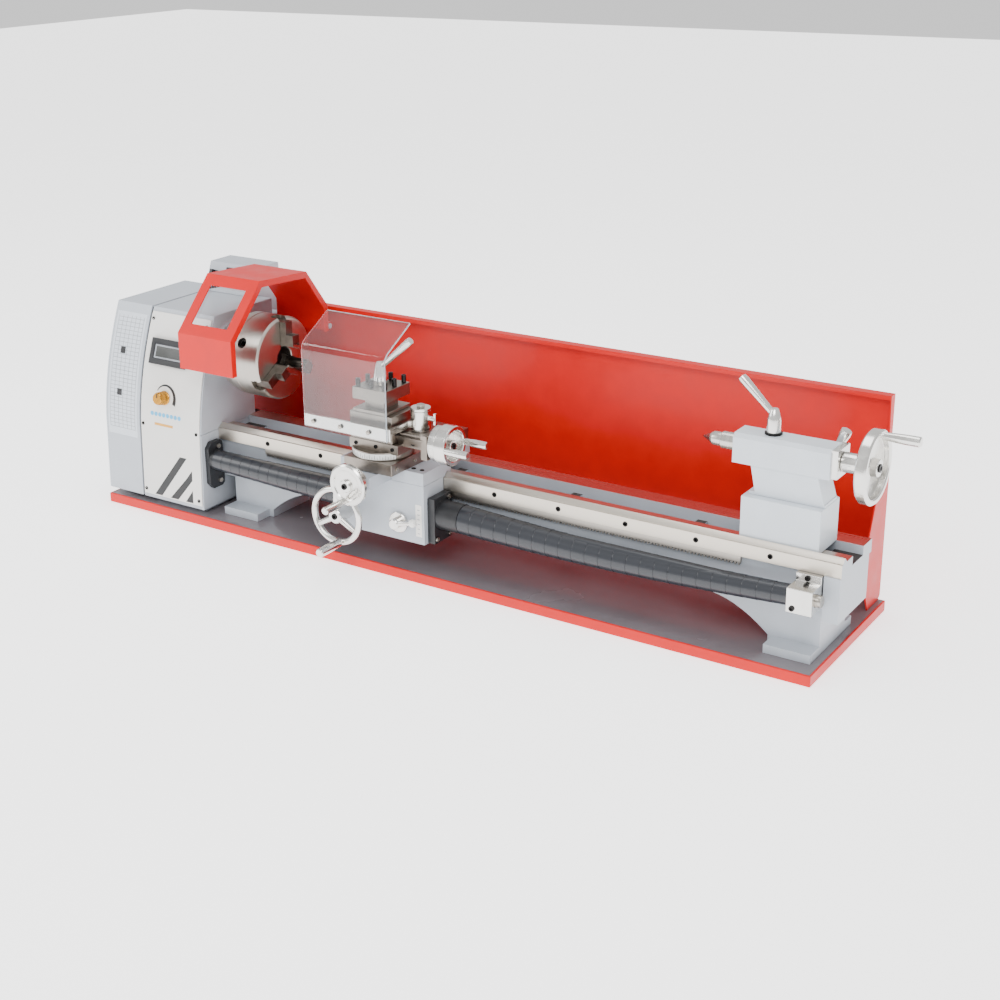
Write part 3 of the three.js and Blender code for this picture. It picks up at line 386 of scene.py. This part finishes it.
def print_on_front(name, body, material, outlines, offset, steps=1):
    """Flat printed shapes laid on the leaning front: each is a list of (left, right, z) rows."""
    shape = Shape()
    for rows in outlines:
        full = []
        for (l0, r0, z0), (l1, r1, z1) in zip(rows, rows[1:]):
            for k in range(steps):
                t = k / steps
                full.append((l0 + (l1 - l0) * t, r0 + (r1 - r0) * t, z0 + (z1 - z0) * t))
        full.append(rows[-1])
        front, back = ([[shape.bm.verts.new((x, front_y(z) - offset - lift, z)) for x in (left, right)]
                        for left, right, z in full] for lift in (0.14, 0.02))
        for sheet in (front, back):
            for a, b in zip(sheet, sheet[1:]):
                shape.bm.faces.new((a[0], a[1], b[1], b[0]))
        for side in (0, 1):
            for (fa, fb), (ba, bb) in zip(zip(front, front[1:]), zip(back, back[1:])):
                shape.bm.faces.new((fa[side], fb[side], bb[side], ba[side]))
        for end in (0, -1):
            shape.bm.faces.new((front[end][0], front[end][1], back[end][1], back[end][0]))
    return shape.done(name, body, material, bevel=0)


def disc_rows(x, z, radius, steps=16):
    rows = []
    for i in range(steps + 1):
        a = math.pi * i / steps
        half = max(radius * math.sin(a), 0.05)
        rows.append((x - half, x + half, z + radius * math.cos(a)))
    return rows


def screw_heads(name, body, material, places, axis, radius=4.0, height=3.0, socket=True):
    """Socket-head screws standing on a face; each place is the centre of the head's seat."""
    shape = Shape()
    for place in places:
        hole = radius * 0.5
        if socket:
            profile = [(0, 0), (radius, 0), (radius, height), (hole, height), (hole * 0.95, height - 1.6),
                       (0, height - 1.6)]
        else:
            profile = [(0, 0), (radius, 0), (radius * 0.9, height * 0.6), (radius * 0.5, height), (0, height)]
        shape.turned(profile, place, axis, 20)
    return shape.done(name, body, material, bevel=0.15)


# ------------------------------------------------------------------ tray, guard, bed
dressed("chip_tray", RED, 1.4)
# A thin grey sheet laid on the red tray floor: painted sheen of the white reflection on that red paint.
Shape().box(-298.5, 878.5, -90.5, 161.5, 0.02, 0.22).done("tray_floor_painted_sheen", "machine", TRAY_SHEEN_GREY, bevel=0)
dressed("splash_guard", RED, 0.7)


def bed_face(place, normal):
    """Paint below and on the ends, ground rails on top, a dark iron colour in the channel between them that
    also paints the shade in that deep recess.
    """
    if place.z < 112.5 or abs(normal.x) > 0.7:
        return 0
    between = -9 < place.y < 29 and (place.z < 118.5 or abs(normal.y) > 0.7)
    return 2 if between else 1


dressed("bed", [GREY, RAIL, CHANNEL_IRON_AND_SHADE], 1.2, bed_face)
bolts = [(-5.7 + 100.8 * i, -43.0, 121) for i in range(9)]
screw_heads("bed_bolts", "machine", OXIDE, bolts, (0, -1, 0), 3.6, 0.6)
rack = Shape().box(-12, 761, -42, -36.3, 103.6, 111.7)
pitch = 4.712
for i in range(164):
    x = -12 + pitch * (i + 0.3)
    rack.prism([(x, 103.7), (x + 3.3, 103.7), (x + 2.3, 100), (x + 1.0, 100)], 1, -42, -36.3)
rack.done("rack_teeth", "machine", STEEL, bevel=0, replaces=["rack"])

# ------------------------------------------------------------------ headstock
dressed("headstock_casting", GREY, 1.5)
dressed("headstock_base", GREY, 1.2)
dressed("control_panel", WHITE, 0.5)
dressed("end_plate", CAST, 0.5)
dressed("gear_cover", COVER, 2.0)
dressed("control_box", GREY, 1.6)
dressed("direction_switch", BLACK, 0.6)
dressed("stop_button", RED_KEY, 1.0)
dressed("start_button", GREEN_KEY, 1.0)
dressed("display", BLACK, 0.8)
dressed("drive_motor", BLACK, 1.2)
dressed("motor_pulley", CHROME, 0.3)
dressed("drive_belt", RUBBER, 0.3)
dressed("spindle_pulley", CHROME, 0.2)
for gear in ("idler_gear_1", "idler_gear_2", "leadscrew_gear", "rack_pinion"):
    dressed(gear, JAW, 0.12)
dressed("gear_banjo", CAST, 0.6)
dressed("leadscrew_flange", BLACK, 1.4)

lean = Matrix.Translation((-175.5, -61.2, 241)) @ Matrix.Rotation(-0.36, 4, "X")
Shape().box(-28.6, 28.6, -2.9, -2.2, -10.6, 10.6).moved(lean).done("display_border", "machine", FAINT, 0.2)
Shape().box(-25.4, 25.4, -3.1, -2.9, -8.0, 8.0).moved(lean).done("display_glass", "machine", LCD, 0)

knob_place = Matrix.Translation((-178, -77.6, 174)) @ Matrix.Rotation(-0.188, 4, "X")
knob = Shape().turned([(0, 0), (11, 0), (11, 1.5), (10.2, 2.2), (9.2, 15.4), (8.2, 17), (0, 17)],
                      (0, 0, 0), (0, -1, 0), 48)
for i in range(24):
    a = 2 * math.pi * i / 24
    root = (10.1 * math.cos(a), -2.6, 10.1 * math.sin(a))
    tip = (9.2 * math.cos(a), -15, 9.2 * math.sin(a))
    knob.rod(root, tip, 0.55, sides=8)
knob.moved(knob_place).done("knob_body", "speed_knob", GOLD, 0.25, replaces=["speed_knob"])
Shape().box(-0.8, 0.8, -17.4, -16.8, 1.5, 8).moved(knob_place).done("knob_pointer", "speed_knob", PRINT, 0)

arc = []
for i in range(25):
    t = i / 24
    a = math.radians(150 - 175 * t)
    width = 1.2 + 5.2 * t
    arc.append((math.cos(a), math.sin(a), 17.5, 17.5 + width))
arc_shape = Shape()
for (c0, s0, i0, o0), (c1, s1, i1, o1) in zip(arc, arc[1:]):
    corners = [(-178 + c0 * i0, 174 + s0 * i0), (-178 + c0 * o0, 174 + s0 * o0),
               (-178 + c1 * o1, 174 + s1 * o1), (-178 + c1 * i1, 174 + s1 * i1)]
    arc_shape.bm.faces.new([arc_shape.bm.verts.new((x, front_y(z) - 2.55, z)) for x, z in corners])
arc_shape.done("speed_scale", "machine", PRINT, 0)

print_on_front("panel_band_blue", "machine", BLUE, [disc_rows(-203 + 8 * i, 147, 3.4) for i in range(8)], 2.3)
print_on_front("panel_band_amber", "machine", AMBER,
               [[(-198, -160, 133.5), (-198, -160, 129.5)]], 2.3)
stripes = [[(-148, -134, 86), (-204, -189, 16)], [(-124, -124, 68), (-137, -124, 52), (-171, -155, 16)],
           [(-124, -124, 36), (-139, -124, 16)]]
print_on_front("panel_stripes", "machine", PRINT, stripes, 2.3, 6)
screw_heads("panel_screws", "machine", OXIDE,
            [(x, front_y(z) - 2.3, z) for x in (-222, -112) for z in (286, 128, 22)], (0, -1, 0.1), 2.6, 1.0)

sticker_rows = [(-300, -238, 288 - 188 * i / 24) for i in range(25)]
print_on_front("cover_sticker", "gear_cover", STICKER, [sticker_rows], 0.0)
lines = [[(-296, -242, z), (-296, -242, z - 0.7)] for z in range(112, 284, 6)]
lines += [[(x, x + 0.8, 283), (x, x + 0.8, 112)] for x in (-296, -287, -278, -269, -260, -251, -243)]
print_on_front("sticker_grid", "gear_cover", FAINT, lines, 0.13, 12)
inserts = [[(-281, -271, z + 5), (-281, -271, z - 5)] for z in (232, 168)]
print_on_front("cover_inserts", "gear_cover", PRINT, inserts, 0.3, 3)

screw_heads("flange_screws", "machine", STEEL,
            [(-96, -54, 105), (-96, -54, 50)], (1, 0, 0), 3.6, 2.5)
slope = Matrix.Translation((-165, 82 + 18 * 26 / 45, 328)) @ Matrix.Rotation(-math.atan2(18, 45), 4, "X")
plate = Shape()
for x0, x1, z0, z1 in ((-27, 27, 10.6, 13.5), (-27, 27, -13.5, -10.6), (-27, -23.6, -10.6, 10.6),
                       (23.6, 27, -10.6, 10.6), (-1.6, 1.6, -10.6, 10.6)):
    plate.box(x0, x1, -2.2, -0.05, z0, z1)
plate.moved(slope).done("switch_frame", "machine", BLACK, 0.5)

# ------------------------------------------------------------------ spindle, chuck and its guard
dressed("spindle", STEEL, 0.4)
chuck = Shape().turned([(16, -59.7), (58, -59.7), (62.5, -57.5), (62.5, -46), (61.9, -45.4), (61.9, -44.2),
                        (62.5, -43.6), (62.5, -3), (60, -0.4), (58.6, 0), (17.2, 0), (16, -1.2), (16, -59.7)],
                       (0, 0, SPINDLE_Z), (1, 0, 0), 128).done("chuck_body_shape", None, CHUCK, 0)
cutters = []
for k, degrees in enumerate((90, 210, 330)):
    spin = Matrix.Translation((0, 0, SPINDLE_Z)) @ Matrix.Rotation(math.radians(degrees), 4, "X")
    turn = Matrix.Translation((0, 0, SPINDLE_Z)) @ Matrix.Rotation(math.radians(degrees + 60), 4, "X")
    cutters.append(Shape().box(-18, 1, 8, 70, -8, 8).moved(spin).done(f"slot_cutter_{k}", None, JAW, 0))
    cutters.append(Shape().box(-12, -6, 8, 66, -9.6, 9.6).moved(spin).done(f"key_cutter_{k}", None, JAW, 0))
    socket = Shape().rod((-34, 46, 0), (-34, 66, 0), 8).moved(turn)
    cutters.append(socket.done(f"socket_cutter_{k}", None, JAW, 0))
carved(chuck, cutters)
edge = chuck.modifiers.new("edges", "BEVEL")
edge.width, edge.segments, edge.limit_method, edge.angle_limit = 0.0005, 2, "ANGLE", math.radians(50)
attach(chuck, "spindle")
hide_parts("chuck_body")
for degrees in (150, 270, 30):
    turn = Matrix.Translation((0, 0, SPINDLE_Z)) @ Matrix.Rotation(math.radians(degrees), 4, "X")
    lining = Shape().turned([(7.4, 0), (7.4, 12), (4.2, 12), (4.0, 2), (0, 2)], (-34, 47, 0), (0, 1, 0), 24)
    lining.moved(turn).done(f"key_socket_{degrees}", "spindle", OXIDE, 0.2)
for i in (1, 2, 3):
    dressed(f"chuck_jaw_{i}", JAW, 0.5)
dressed("chuck_guard", RED, 0.6)
pane = Matrix.Translation((-51, -77.4, 330.8)) @ Matrix.Rotation(-math.atan2(71, 74), 4, "X")
Shape().box(-39.6, 39.6, -0.9, 0.9, -38.6, 38.6).moved(pane).done(
    "guard_pane", "chuck_guard", GLASS, 0.2, replaces=["guard_window"])
window_screws = Shape()
for x in (-36.5, 36.5):
    for z in (-35.5, 35.5):
        window_screws.turned([(0, 0), (2.4, 0), (2.2, 1.1), (1.2, 1.7), (0, 1.8)],
                             (x, -1.2, z), (0, -1, 0), 16)
window_screws.moved(pane).done("guard_screws", "chuck_guard", OXIDE, 0)
screw_heads("guard_hinge_screws", "chuck_guard", BRASS, [(x, 108.1, 292) for x in (-87, -49, -14)],
            (0, 1, 0), 3.2, 1.6, socket=False)

# ------------------------------------------------------------------ leadscrew and covers
dressed("leadscrew", STEEL, 0.3)
dressed("leadscrew_bracket", CHROME, 0.8)
screw_heads("bracket_screws", "machine", OXIDE, [(853.5, -50, 107), (846, -78, 76)], (0, -1, 0), 3.6, 1.8)


def band_cover(node, ends, sag, turns, bodies):
    """A telescoping spiral band: short overlapping turns that step in radius and sag between the ends.

    Each end is (x, radius, drop below the screw axis).
    """
    (x0, r0, drop0), (x1, r1, drop1) = ends
    seam = 0.45
    rings = []
    for i in range(turns):
        radius = r0 + (r1 - r0) * (i + 0.5) / turns
        a, b = i / turns, (i + 1) / turns
        half = seam / abs(x1 - x0)
        for t, r in ((a, radius - 0.5), (a + half, radius - 0.5), (a + half, radius), (b - half, radius),
                     (b - half, radius - 0.5)):
            rings.append((t, r))
    rings = [(0.0, 11.0)] + rings + [(1.0, rings[-1][1]), (1.0, 11.0)]
    sides = 64
    shape = Shape()
    grid = []
    for t, r in rings:
        drop = 0.0 if r == 11.0 else drop0 + (drop1 - drop0) * t + sag * math.sin(math.pi * t)
        grid.append([shape.bm.verts.new((
            x0 + (x1 - x0) * t,
            SCREW_Y + r * math.cos(2 * math.pi * k / sides),
            SCREW_Z - drop + r * math.sin(2 * math.pi * k / sides))) for k in range(sides)])
    for low, high in zip(grid, grid[1:] + grid[:1]):
        for k in range(sides):
            j = (k + 1) % sides
            shape.bm.faces.new((low[k], low[j], high[j], high[k]))
    piece = shape.done(node + "_band", None, TUBE, 0, [node])
    marks = [TO_ROW @ Vector((x, SCREW_Y, SCREW_Z)) for x in (x0, x1)]
    if bodies[0] == "carriage":
        marks.reverse()
        bodies = bodies[::-1]
    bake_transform(piece)


band_cover("left_screw_cover", [(-89.7, 15.5, 0.5), (171.7, 20.5, 5.0)], 0.5, 14, ("machine", "carriage"))
band_cover("right_screw_cover", [(360.3, 20.5, 3.0), (837.7, 13.5, 0.0)], 6.3, 24, ("carriage", "machine"))

# ------------------------------------------------------------------ carriage
dressed("saddle", GREY, 0.9)
dressed("apron", GREY, 1.4)
dressed("apron_bracket", BLACK, 1.0)
dressed("half_nut_upper", BRASS, 0.4)
dressed("half_nut_lower", BRASS, 0.4)
dressed("cross_slide", SLIDE, 0.7)
screw_heads("bracket_plate_screws", "carriage", STEEL, [(326, -49, 106), (326, -79, 52), (326, -49, 52)],
            (1, 0, 0), 3.4, 2.4)
screw_heads("gib_screws", "cross_slide", STEEL, [(285, y, 158) for y in (-112, -70, -20, 30)],
            (1, 0, 0), 2.6, 1.6)
Shape().turned([(0, 0), (3.4, 0), (3.0, 0.8), (0, 1.2)], (290, -80, 150), (0, 0, 1), 24).turned(
    [(0, 0), (3.4, 0), (3.0, 0.8), (0, 1.2)], (304, -80, 150), (0, 0, 1), 24).done(
    "oil_cups", "carriage", OXIDE, 0)
Shape().box(300, 310, -92.5, -92.02, 56, 103).done("lever_plate", "carriage", WHITE, 0)
marks = Shape()
for i in range(6):
    marks.box(303, 307, -92.62, -92.5, 60 + 7 * i, 61 + 7 * i)
marks.done("lever_marks", "carriage", FAINT, 0)


def grip(shape, start, end, r0, r1):
    """A slim barrel grip on a short neck."""
    start, end = Vector(start), Vector(end)
    length = (end - start).length
    profile = [(0, -7), (r0 * 0.62, -7), (r0 * 0.62, 0.6), (r0, 1.6)]
    for i in range(1, 8):
        t = i / 8
        profile.append((r0 + (r1 - r0) * t + 0.5 * math.sin(math.pi * t), 1.6 + (length - 4.2) * t))
    profile += [(r1, length - 1.6), (r1 - 1.2, length), (0, length)]
    return shape.turned(profile, start, end - start, 32)


def spoked_wheel(shape, centre, radius, section, axis, spoke_angles, hub, spoke_radius):
    centre = Vector(centre)
    shape.ring(centre, axis, radius, section)
    for degrees in spoke_angles:
        a = math.radians(degrees)
        direction = Vector((math.cos(a), 0, math.sin(a)))
        shape.rod(centre + direction * hub, centre + direction * (radius - 1), spoke_radius * 1.3,
                  spoke_radius, 20)
    return shape


wheel = spoked_wheel(Shape(), (190, -128, 76), 39, (4.6, 5.2), (0, 1, 0), (90, 210, 330), 7, 4)
wheel.turned([(0, 0), (9.5, 0), (11, 1.5), (11, 26), (9.5, 38), (0, 38)], (190, -134, 76), (0, 1, 0), 48)
wheel.turned([(0, 0), (6, 0), (6, 24), (0, 24)], (190, -98, 76), (0, 1, 0), 32)
grip(wheel, (197, -133.6, 38.5), (197, -180, 38.5), 5.6, 6.3)
wheel.done("carriage_wheel", "carriage_handwheel", CHROME, 0.3, replaces=["carriage_handwheel"])
screw_heads("carriage_wheel_nut", "carriage_handwheel", OXIDE, [(190, -134, 76)], (0, -1, 0), 4.6, 1.2)

lever = Shape().turned([(0, 0), (14, 0), (15, 1), (15, 4.7), (0, 4.7)], (272, -97, 72), (0, 1, 0), 48)
lever.turned([(0, 0), (6.6, 0), (8, 1.4), (8, 12), (0, 12)], (272, -108, 72), (0, 1, 0), 32)
lever.rod((272, -103, 72), (297, -103, 77.9), 4.2, 3.2)
lever.done("half_nut_arm", "half_nut_lever", CHROME, 0.3, replaces=["half_nut_lever"])
Shape().ball((302, -103, 79), 6).done("half_nut_ball", "half_nut_lever", IVORY, 0)

cross = Shape().turned([(0, 0), (8, 0), (9, 1), (9, 5), (20, 6), (22, 4.4), (27, 4.4), (29.5, 6.6),
                        (29.5, 12), (28, 14), (17, 14), (0, 14)], (STACK_X, -172, FEED_Z), (0, 1, 0), 72)
grip(cross, (238, -168.2, 121), (238, -214, 121), 4.4, 5.4)
cross.done("cross_wheel", "cross_handwheel", CHROME, 0.3, replaces=["cross_handwheel"])


def dial(name, body, place, axis, radius, length, count):
    """A graduated collar: a plain drum with fine engraved lines round it."""
    drum = Shape().turned([(0, 0), (radius - 0.6, 0), (radius, 0.6), (radius, length - 0.6),
                           (radius - 0.6, length), (0, length)], place, axis, 72)
    drum.done(name, body, CHROME, 0)
    lines = Shape()
    turn = Matrix.Translation(place) @ basis(axis)
    for i in range(count):
        reach = length * (0.62 if i % 5 == 0 else 0.4)
        spin = Matrix.Rotation(2 * math.pi * i / count, 4, "Z")
        line = Shape().box(radius - 0.2, radius + 0.06, -0.14, 0.14, 0.7, reach).moved(turn @ spin)
        line_mesh = bpy.data.meshes.new("line")
        line.bm.to_mesh(line_mesh)
        line.bm.free()
        lines.bm.from_mesh(line_mesh)
        bpy.data.meshes.remove(line_mesh)
    return lines.done(name + "_lines", body, PRINT, 0)


dial("cross_dial", "cross_handwheel", (STACK_X, -158.4, FEED_Z), (0, 1, 0), 17, 15.8, 40)
screw_heads("cross_wheel_nut", "cross_handwheel", OXIDE, [(STACK_X, -172, FEED_Z)], (0, -1, 0), 4.4, 1.4)

# ------------------------------------------------------------------ compound slide and tool post
dressed("compound_base", SLIDE, 0.7)
dressed("top_slide", SLIDE, 0.8)
half = 28
tool_post = Shape().box(STACK_X - half, STACK_X + half, STACK_Y - half, STACK_Y + half, 247, 264)
tool_post.box(STACK_X - half, STACK_X + half, STACK_Y - half, STACK_Y + half, 229.3, 234)
tool_post.box(STACK_X - 16, STACK_X + 16, STACK_Y - 16, STACK_Y + 16, 233.5, 247.5)
tool_post.done("tool_post_body", "tool_post", SLIDE, 0.7, replaces=["tool_post"])
clamp_places = [(STACK_X + 22 * i, STACK_Y + 22 * j, 264) for i in (-1, 0, 1) for j in (-1, 0, 1) if i or j]
screw_heads("clamp_screws", "tool_post", OXIDE, clamp_places, (0, 0, 1), 3.4, 11)
scale_ring = Shape()
for i in range(28):
    a0, a1 = (math.radians(210 + 120 * k / 28) for k in (i, i + 1))
    corners = [(STACK_X + r * math.cos(a), STACK_Y + r * math.sin(a)) for r, a in
               ((43.02, a0), (43.25, a0), (43.25, a1), (43.02, a1))]
    scale_ring.prism(corners, 2, 168.4, 176.4)
scale_ring.done("swivel_scale", "compound", IVORY, 0)
ticks = Shape()
for i in range(25):
    a = math.radians(210 + 5 * i)
    half = 0.004
    corners = [(STACK_X + r * math.cos(b), STACK_Y + r * math.sin(b)) for r, b in
               ((43.26, a - half), (43.4, a - half), (43.4, a + half), (43.26, a + half))]
    ticks.prism(corners, 2, 168.8, 175 if i % 2 == 0 else 172.5)
ticks.done("swivel_ticks", "compound", PRINT, 0)
screw_heads("slide_screws", "compound", OXIDE, [(214, -109, 183), (248, -109, 183), (276, -109, 183)],
            (0, -1, 0), 2.8, 1.2)
screw_heads("arm_screw", "compound", OXIDE, [(302, -96, 193)], (0, -1, 0), 3.2, 1.4)

compound = Shape().turned([(0, 0), (26.6, 0), (28, 1.4), (28, 16.6), (26.8, 18), (22.2, 18), (21, 16.8),
                           (21, 4.6), (20.4, 4), (8.4, 4), (8, 4.4), (8, 15.2), (7.2, 16), (0, 16)],
                          (STACK_X + 102, STACK_Y, COMPOUND_Z), (1, 0, 0), 96)
compound.rod((STACK_X - 30, STACK_Y, COMPOUND_Z), (STACK_X + 92, STACK_Y, COMPOUND_Z), 4)
for side in (-1, 1):
    grip(compound, (STACK_X + 119, STACK_Y + side * 23.5, COMPOUND_Z),
         (STACK_X + 156, STACK_Y + side * 23.5, COMPOUND_Z), 4.3, 5.4)
compound.done("compound_wheel", "compound_handwheel", CHROME, 0.3, replaces=["compound_handwheel"])
dial("compound_dial", "compound_handwheel", (STACK_X + 91.4, STACK_Y, COMPOUND_Z), (1, 0, 0), 25, 10.4, 60)
screw_heads("compound_wheel_nut", "compound_handwheel", OXIDE, [(STACK_X + 118, STACK_Y, COMPOUND_Z)],
            (1, 0, 0), 4.4, 1.2)

hub = Shape().turned([(7.4, 264.3), (9.6, 264.3), (10, 265), (10, 273), (9.2, 278), (6.2, 292), (5.2, 295),
                      (0, 296), (0, 273), (7.4, 273), (7.4, 264.3)], (STACK_X, STACK_Y, 0), (0, 0, 1), 48)
hub.turned([(3.6, 0), (3.9, 8), (5.4, 60), (5.0, 66.4), (0, 67.3), (0, 0)],
           (STACK_X + 1, STACK_Y, 289), (51, 0, 44), 32)
hub.done("post_lever", "tool_post_lever", CHROME, 0.25, replaces=["tool_post_lever"])

# ------------------------------------------------------------------ chip shield
post = Shape().turned([(0, 205.3), (12.6, 205.3), (13, 205.7), (13, 207.1), (8, 207.5), (8, 234), (13.6, 234),
                       (14, 234.4), (14, 237.5), (13.4, 238), (0, 238)], (POST_X, POST_Y, 0), (0, 0, 1), 56)
post.done("post_shape", "compound", CHROME, 0.3, replaces=["shield_post"])
hex_top = [(POST_X + 6 * math.cos(math.radians(60 * i)), POST_Y + 6 * math.sin(math.radians(60 * i)))
           for i in range(6)]
Shape().prism(hex_top, 2, 238, 242).done("post_bolt", "compound", STEEL, 0.4)
dressed("shield_bar", CHROME, 0.5)
bar_places = (154, 201, 249)
screw_heads("bar_screws", "chip_shield", STEEL, [(x, -127, 208.5) for x in bar_places],
            (0, -1, 0), 3.4, 2.0, socket=False)
screw_heads("bar_nuts", "chip_shield", STEEL, [(x, -119.7, 208.5) for x in bar_places], (0, 1, 0), 3.6, 2.4)


def shield_section(inset):
    """Front pane, bent corner, slanted pane; the corner is rounded."""
    outer = [(-127 + inset, 199)]
    start, corner, end = Vector((-127, 306)), Vector((-127, 318)), Vector((-66, 352))
    bend_to = corner + (end - corner).normalized() * 12
    for i in range(9):
        t = i / 8
        point = start * (1 - t) ** 2 + corner * 2 * t * (1 - t) + bend_to * t * t
        lean_angle = t * math.atan2(34, 61)
        normal = Vector((math.cos(lean_angle) * (1 - t) + t * 0.487, -t * 0.873))
        outer.append(tuple(point + normal.normalized() * inset))
    outer.append(tuple(end + Vector((0.487, -0.873)) * inset))
    return outer


Shape().prism(shield_section(0) + shield_section(2.8)[::-1], 0, 139.4, 279.6).done(
    "shield_pane", "chip_shield", GLASS, 0, replaces=["chip_shield"])
# Thin whitish strips on the shield's side and top edges: painted edge highlights.
for k, (low, high) in enumerate(((139.0, 139.35), (279.65, 280.0))):
    Shape().prism(shield_section(0.2) + shield_section(2.6)[::-1], 0, low, high).done(
        f"shield_edge_highlight_{k}", "chip_shield", EDGE_HIGHLIGHT, 0)
top_highlight_strip = [(-66.1, 351.95), (-64.7, 349.5), (-64.5, 349.65), (-65.9, 352.05)]
Shape().prism(top_highlight_strip, 0, 139.4, 279.6).done("shield_edge_highlight_top", "chip_shield", EDGE_HIGHLIGHT, 0)

# ------------------------------------------------------------------ tailstock
dressed("tailstock_base", LIGHT, 1.6)
dressed("tailstock_body", [LIGHT, CHROME], 1.4, lambda p, n: 1 if p.x > 862.4 else 0)
Shape().turned([(7, 712), (10.4, 712), (11, 712.6), (11, 850), (6, 850), (6, 762), (7, 761), (7, 712)],
               (0, 0, SPINDLE_Z), (1, 0, 0), 72).done("quill_shape", "quill", TURNED, 0.2, replaces=["quill"])
Shape().turned([(0, 684), (8.6, 699.6), (9, 700.4), (9, 711.6), (6.6, 711.7), (5.6, 758), (0, 758)],
               (0, 0, SPINDLE_Z), (1, 0, 0), 72).done("centre_shape", "quill", TURNED, 0.2,
                                                     replaces=["dead_centre"])
tail_wheel = Shape().turned(
    [(0, 892), (12.5, 892), (22, 895.6), (33, 899.8), (36, 900.4), (40, 899.4), (44.4, 899.3), (46.5, 901.4),
     (46.5, 911.6), (44.6, 914), (40.2, 914), (38.4, 912.4), (38, 906), (36, 905.2), (13, 905.2), (11.4, 906),
     (11, 908), (11, 914.4), (10.2, 915), (0, 915)], (0, 0, SPINDLE_Z), (1, 0, 0), 96)
grip(tail_wheel, (917, 0, 286), (962, 0, 286), 4.8, 6.4)
tail_wheel.done("tail_wheel", "tailstock_handwheel", CHROME, 0.25, replaces=["tailstock_handwheel"])
Shape().rod((800, 0, SPINDLE_Z), (872, 0, SPINDLE_Z), 5).done("tail_screw", "tailstock_handwheel", STEEL, 0.2)
dial("tail_dial", "tailstock_handwheel", (870.4, 0, SPINDLE_Z), (1, 0, 0), 12.5, 21.8, 40)
screw_heads("tail_wheel_nut", "tailstock_handwheel", OXIDE, [(915, 0, SPINDLE_Z)], (1, 0, 0), 5.4, 1.6)
lock = Shape().turned([(0, 257.5), (5, 257.5), (5, 264.3), (8.4, 264.3), (9, 265), (9, 283), (8, 287),
                       (5, 296), (4, 297), (0, 297)], (779, 0, 0), (0, 0, 1), 48)
lock.turned([(3.8, 0), (4.2, 8), (5.9, 53), (5.3, 59.2), (0, 60.1), (0, 0)], (777, 0, 290), (-44, 0, 41), 32)
lock.done("quill_lock", "quill_lock_lever", CHROME, 0.25, replaces=["quill_lock_lever"])
Shape().turned([(9.05, 264.4), (11, 264.4), (11, 266.6), (10.4, 267.2), (9.05, 267.2), (9.05, 264.4)],
               (779, 0, 0), (0, 0, 1), 48).done("lock_ring", "quill_lock_lever", OXIDE, 0)
clamp = Shape().turned([(0, 22.3), (6.4, 22.3), (7, 23), (7, 33), (6, 34), (0, 34)],
                       (848, 0, 246), (0, 1, 0), 40)
clamp.turned([(4.4, 0), (4.9, 5), (7.4, 26), (6.8, 31), (0, 31.7), (0, 0)], (848, 30, 246), (13, 0, 29), 32)
clamp.done("clamp_lever", "tailstock_clamp_lever", CHROME, 0.25, replaces=["tailstock_clamp_lever"])

# ------------------------------------------------------------------ floor, light, camera
floor_mesh = bpy.data.meshes.new("floor")
floor_mesh.from_pydata([(-8, -8, 0), (8, -8, 0), (8, 8, 0), (-8, 8, 0)], [], [(0, 1, 2, 3)])
floor = bpy.data.objects.new("floor", floor_mesh)
bpy.context.scene.collection.objects.link(floor)
FLOOR = surface("floor_paint", (252, 252, 252), 0.7, 0.0, vary=0.01, patch=0.5, grain=0.01, glow=1.6)
floor_mesh.materials.append(FLOOR)

world = bpy.data.worlds.new("studio")
bpy.context.scene.world = world
world.use_nodes = True
world.node_tree.nodes["Background"].inputs[0].default_value = (1.0, 1.0, 1.0, 1.0)
world.node_tree.nodes["Background"].inputs[1].default_value = 1.0


def softbox(name, place, target, size, power):
    light = bpy.data.lights.new(name, "AREA")
    light.shape = "RECTANGLE"
    light.size, light.size_y = size
    light.energy = power
    lamp = bpy.data.objects.new(name, light)
    bpy.context.scene.collection.objects.link(lamp)
    lamp.location = place
    lamp.rotation_euler = (Vector(target) - Vector(place)).to_track_quat("-Z", "Y").to_euler()


softbox("key", (0.9, -2.4, 2.4), (0, 0, 0.2), (1.8, 1.2), 60)
softbox("side", (-2.4, -1.4, 1.6), (-0.3, 0, 0.2), (1.2, 1.4), 30)
softbox("top", (0.1, 0.1, 2.8), (0, 0, 0), (2.4, 1.2), 35)

yaw, pitch, roll = (math.radians(v) for v in (34.3, 19.7, -1.0))
back = Vector((math.sin(yaw) * math.cos(pitch), -math.cos(yaw) * math.cos(pitch), math.sin(pitch)))
right = Vector((math.cos(yaw), math.sin(yaw), 0))
up = back.cross(right)
right, up = (right * math.cos(roll) + up * math.sin(roll), up * math.cos(roll) - right * math.sin(roll))
camera_data = bpy.data.cameras.new("camera")
camera_data.lens = 57.65
camera_data.sensor_width = 36
camera_data.shift_x, camera_data.shift_y = 0.0417, -0.0454
camera = bpy.data.objects.new("camera", camera_data)
bpy.context.scene.collection.objects.link(camera)
turned_to = Matrix((right, up, back)).transposed().to_4x4()
camera.matrix_world = Matrix.Translation((1.1769, -1.72855, 0.9241)) @ turned_to
bpy.context.scene.camera = camera
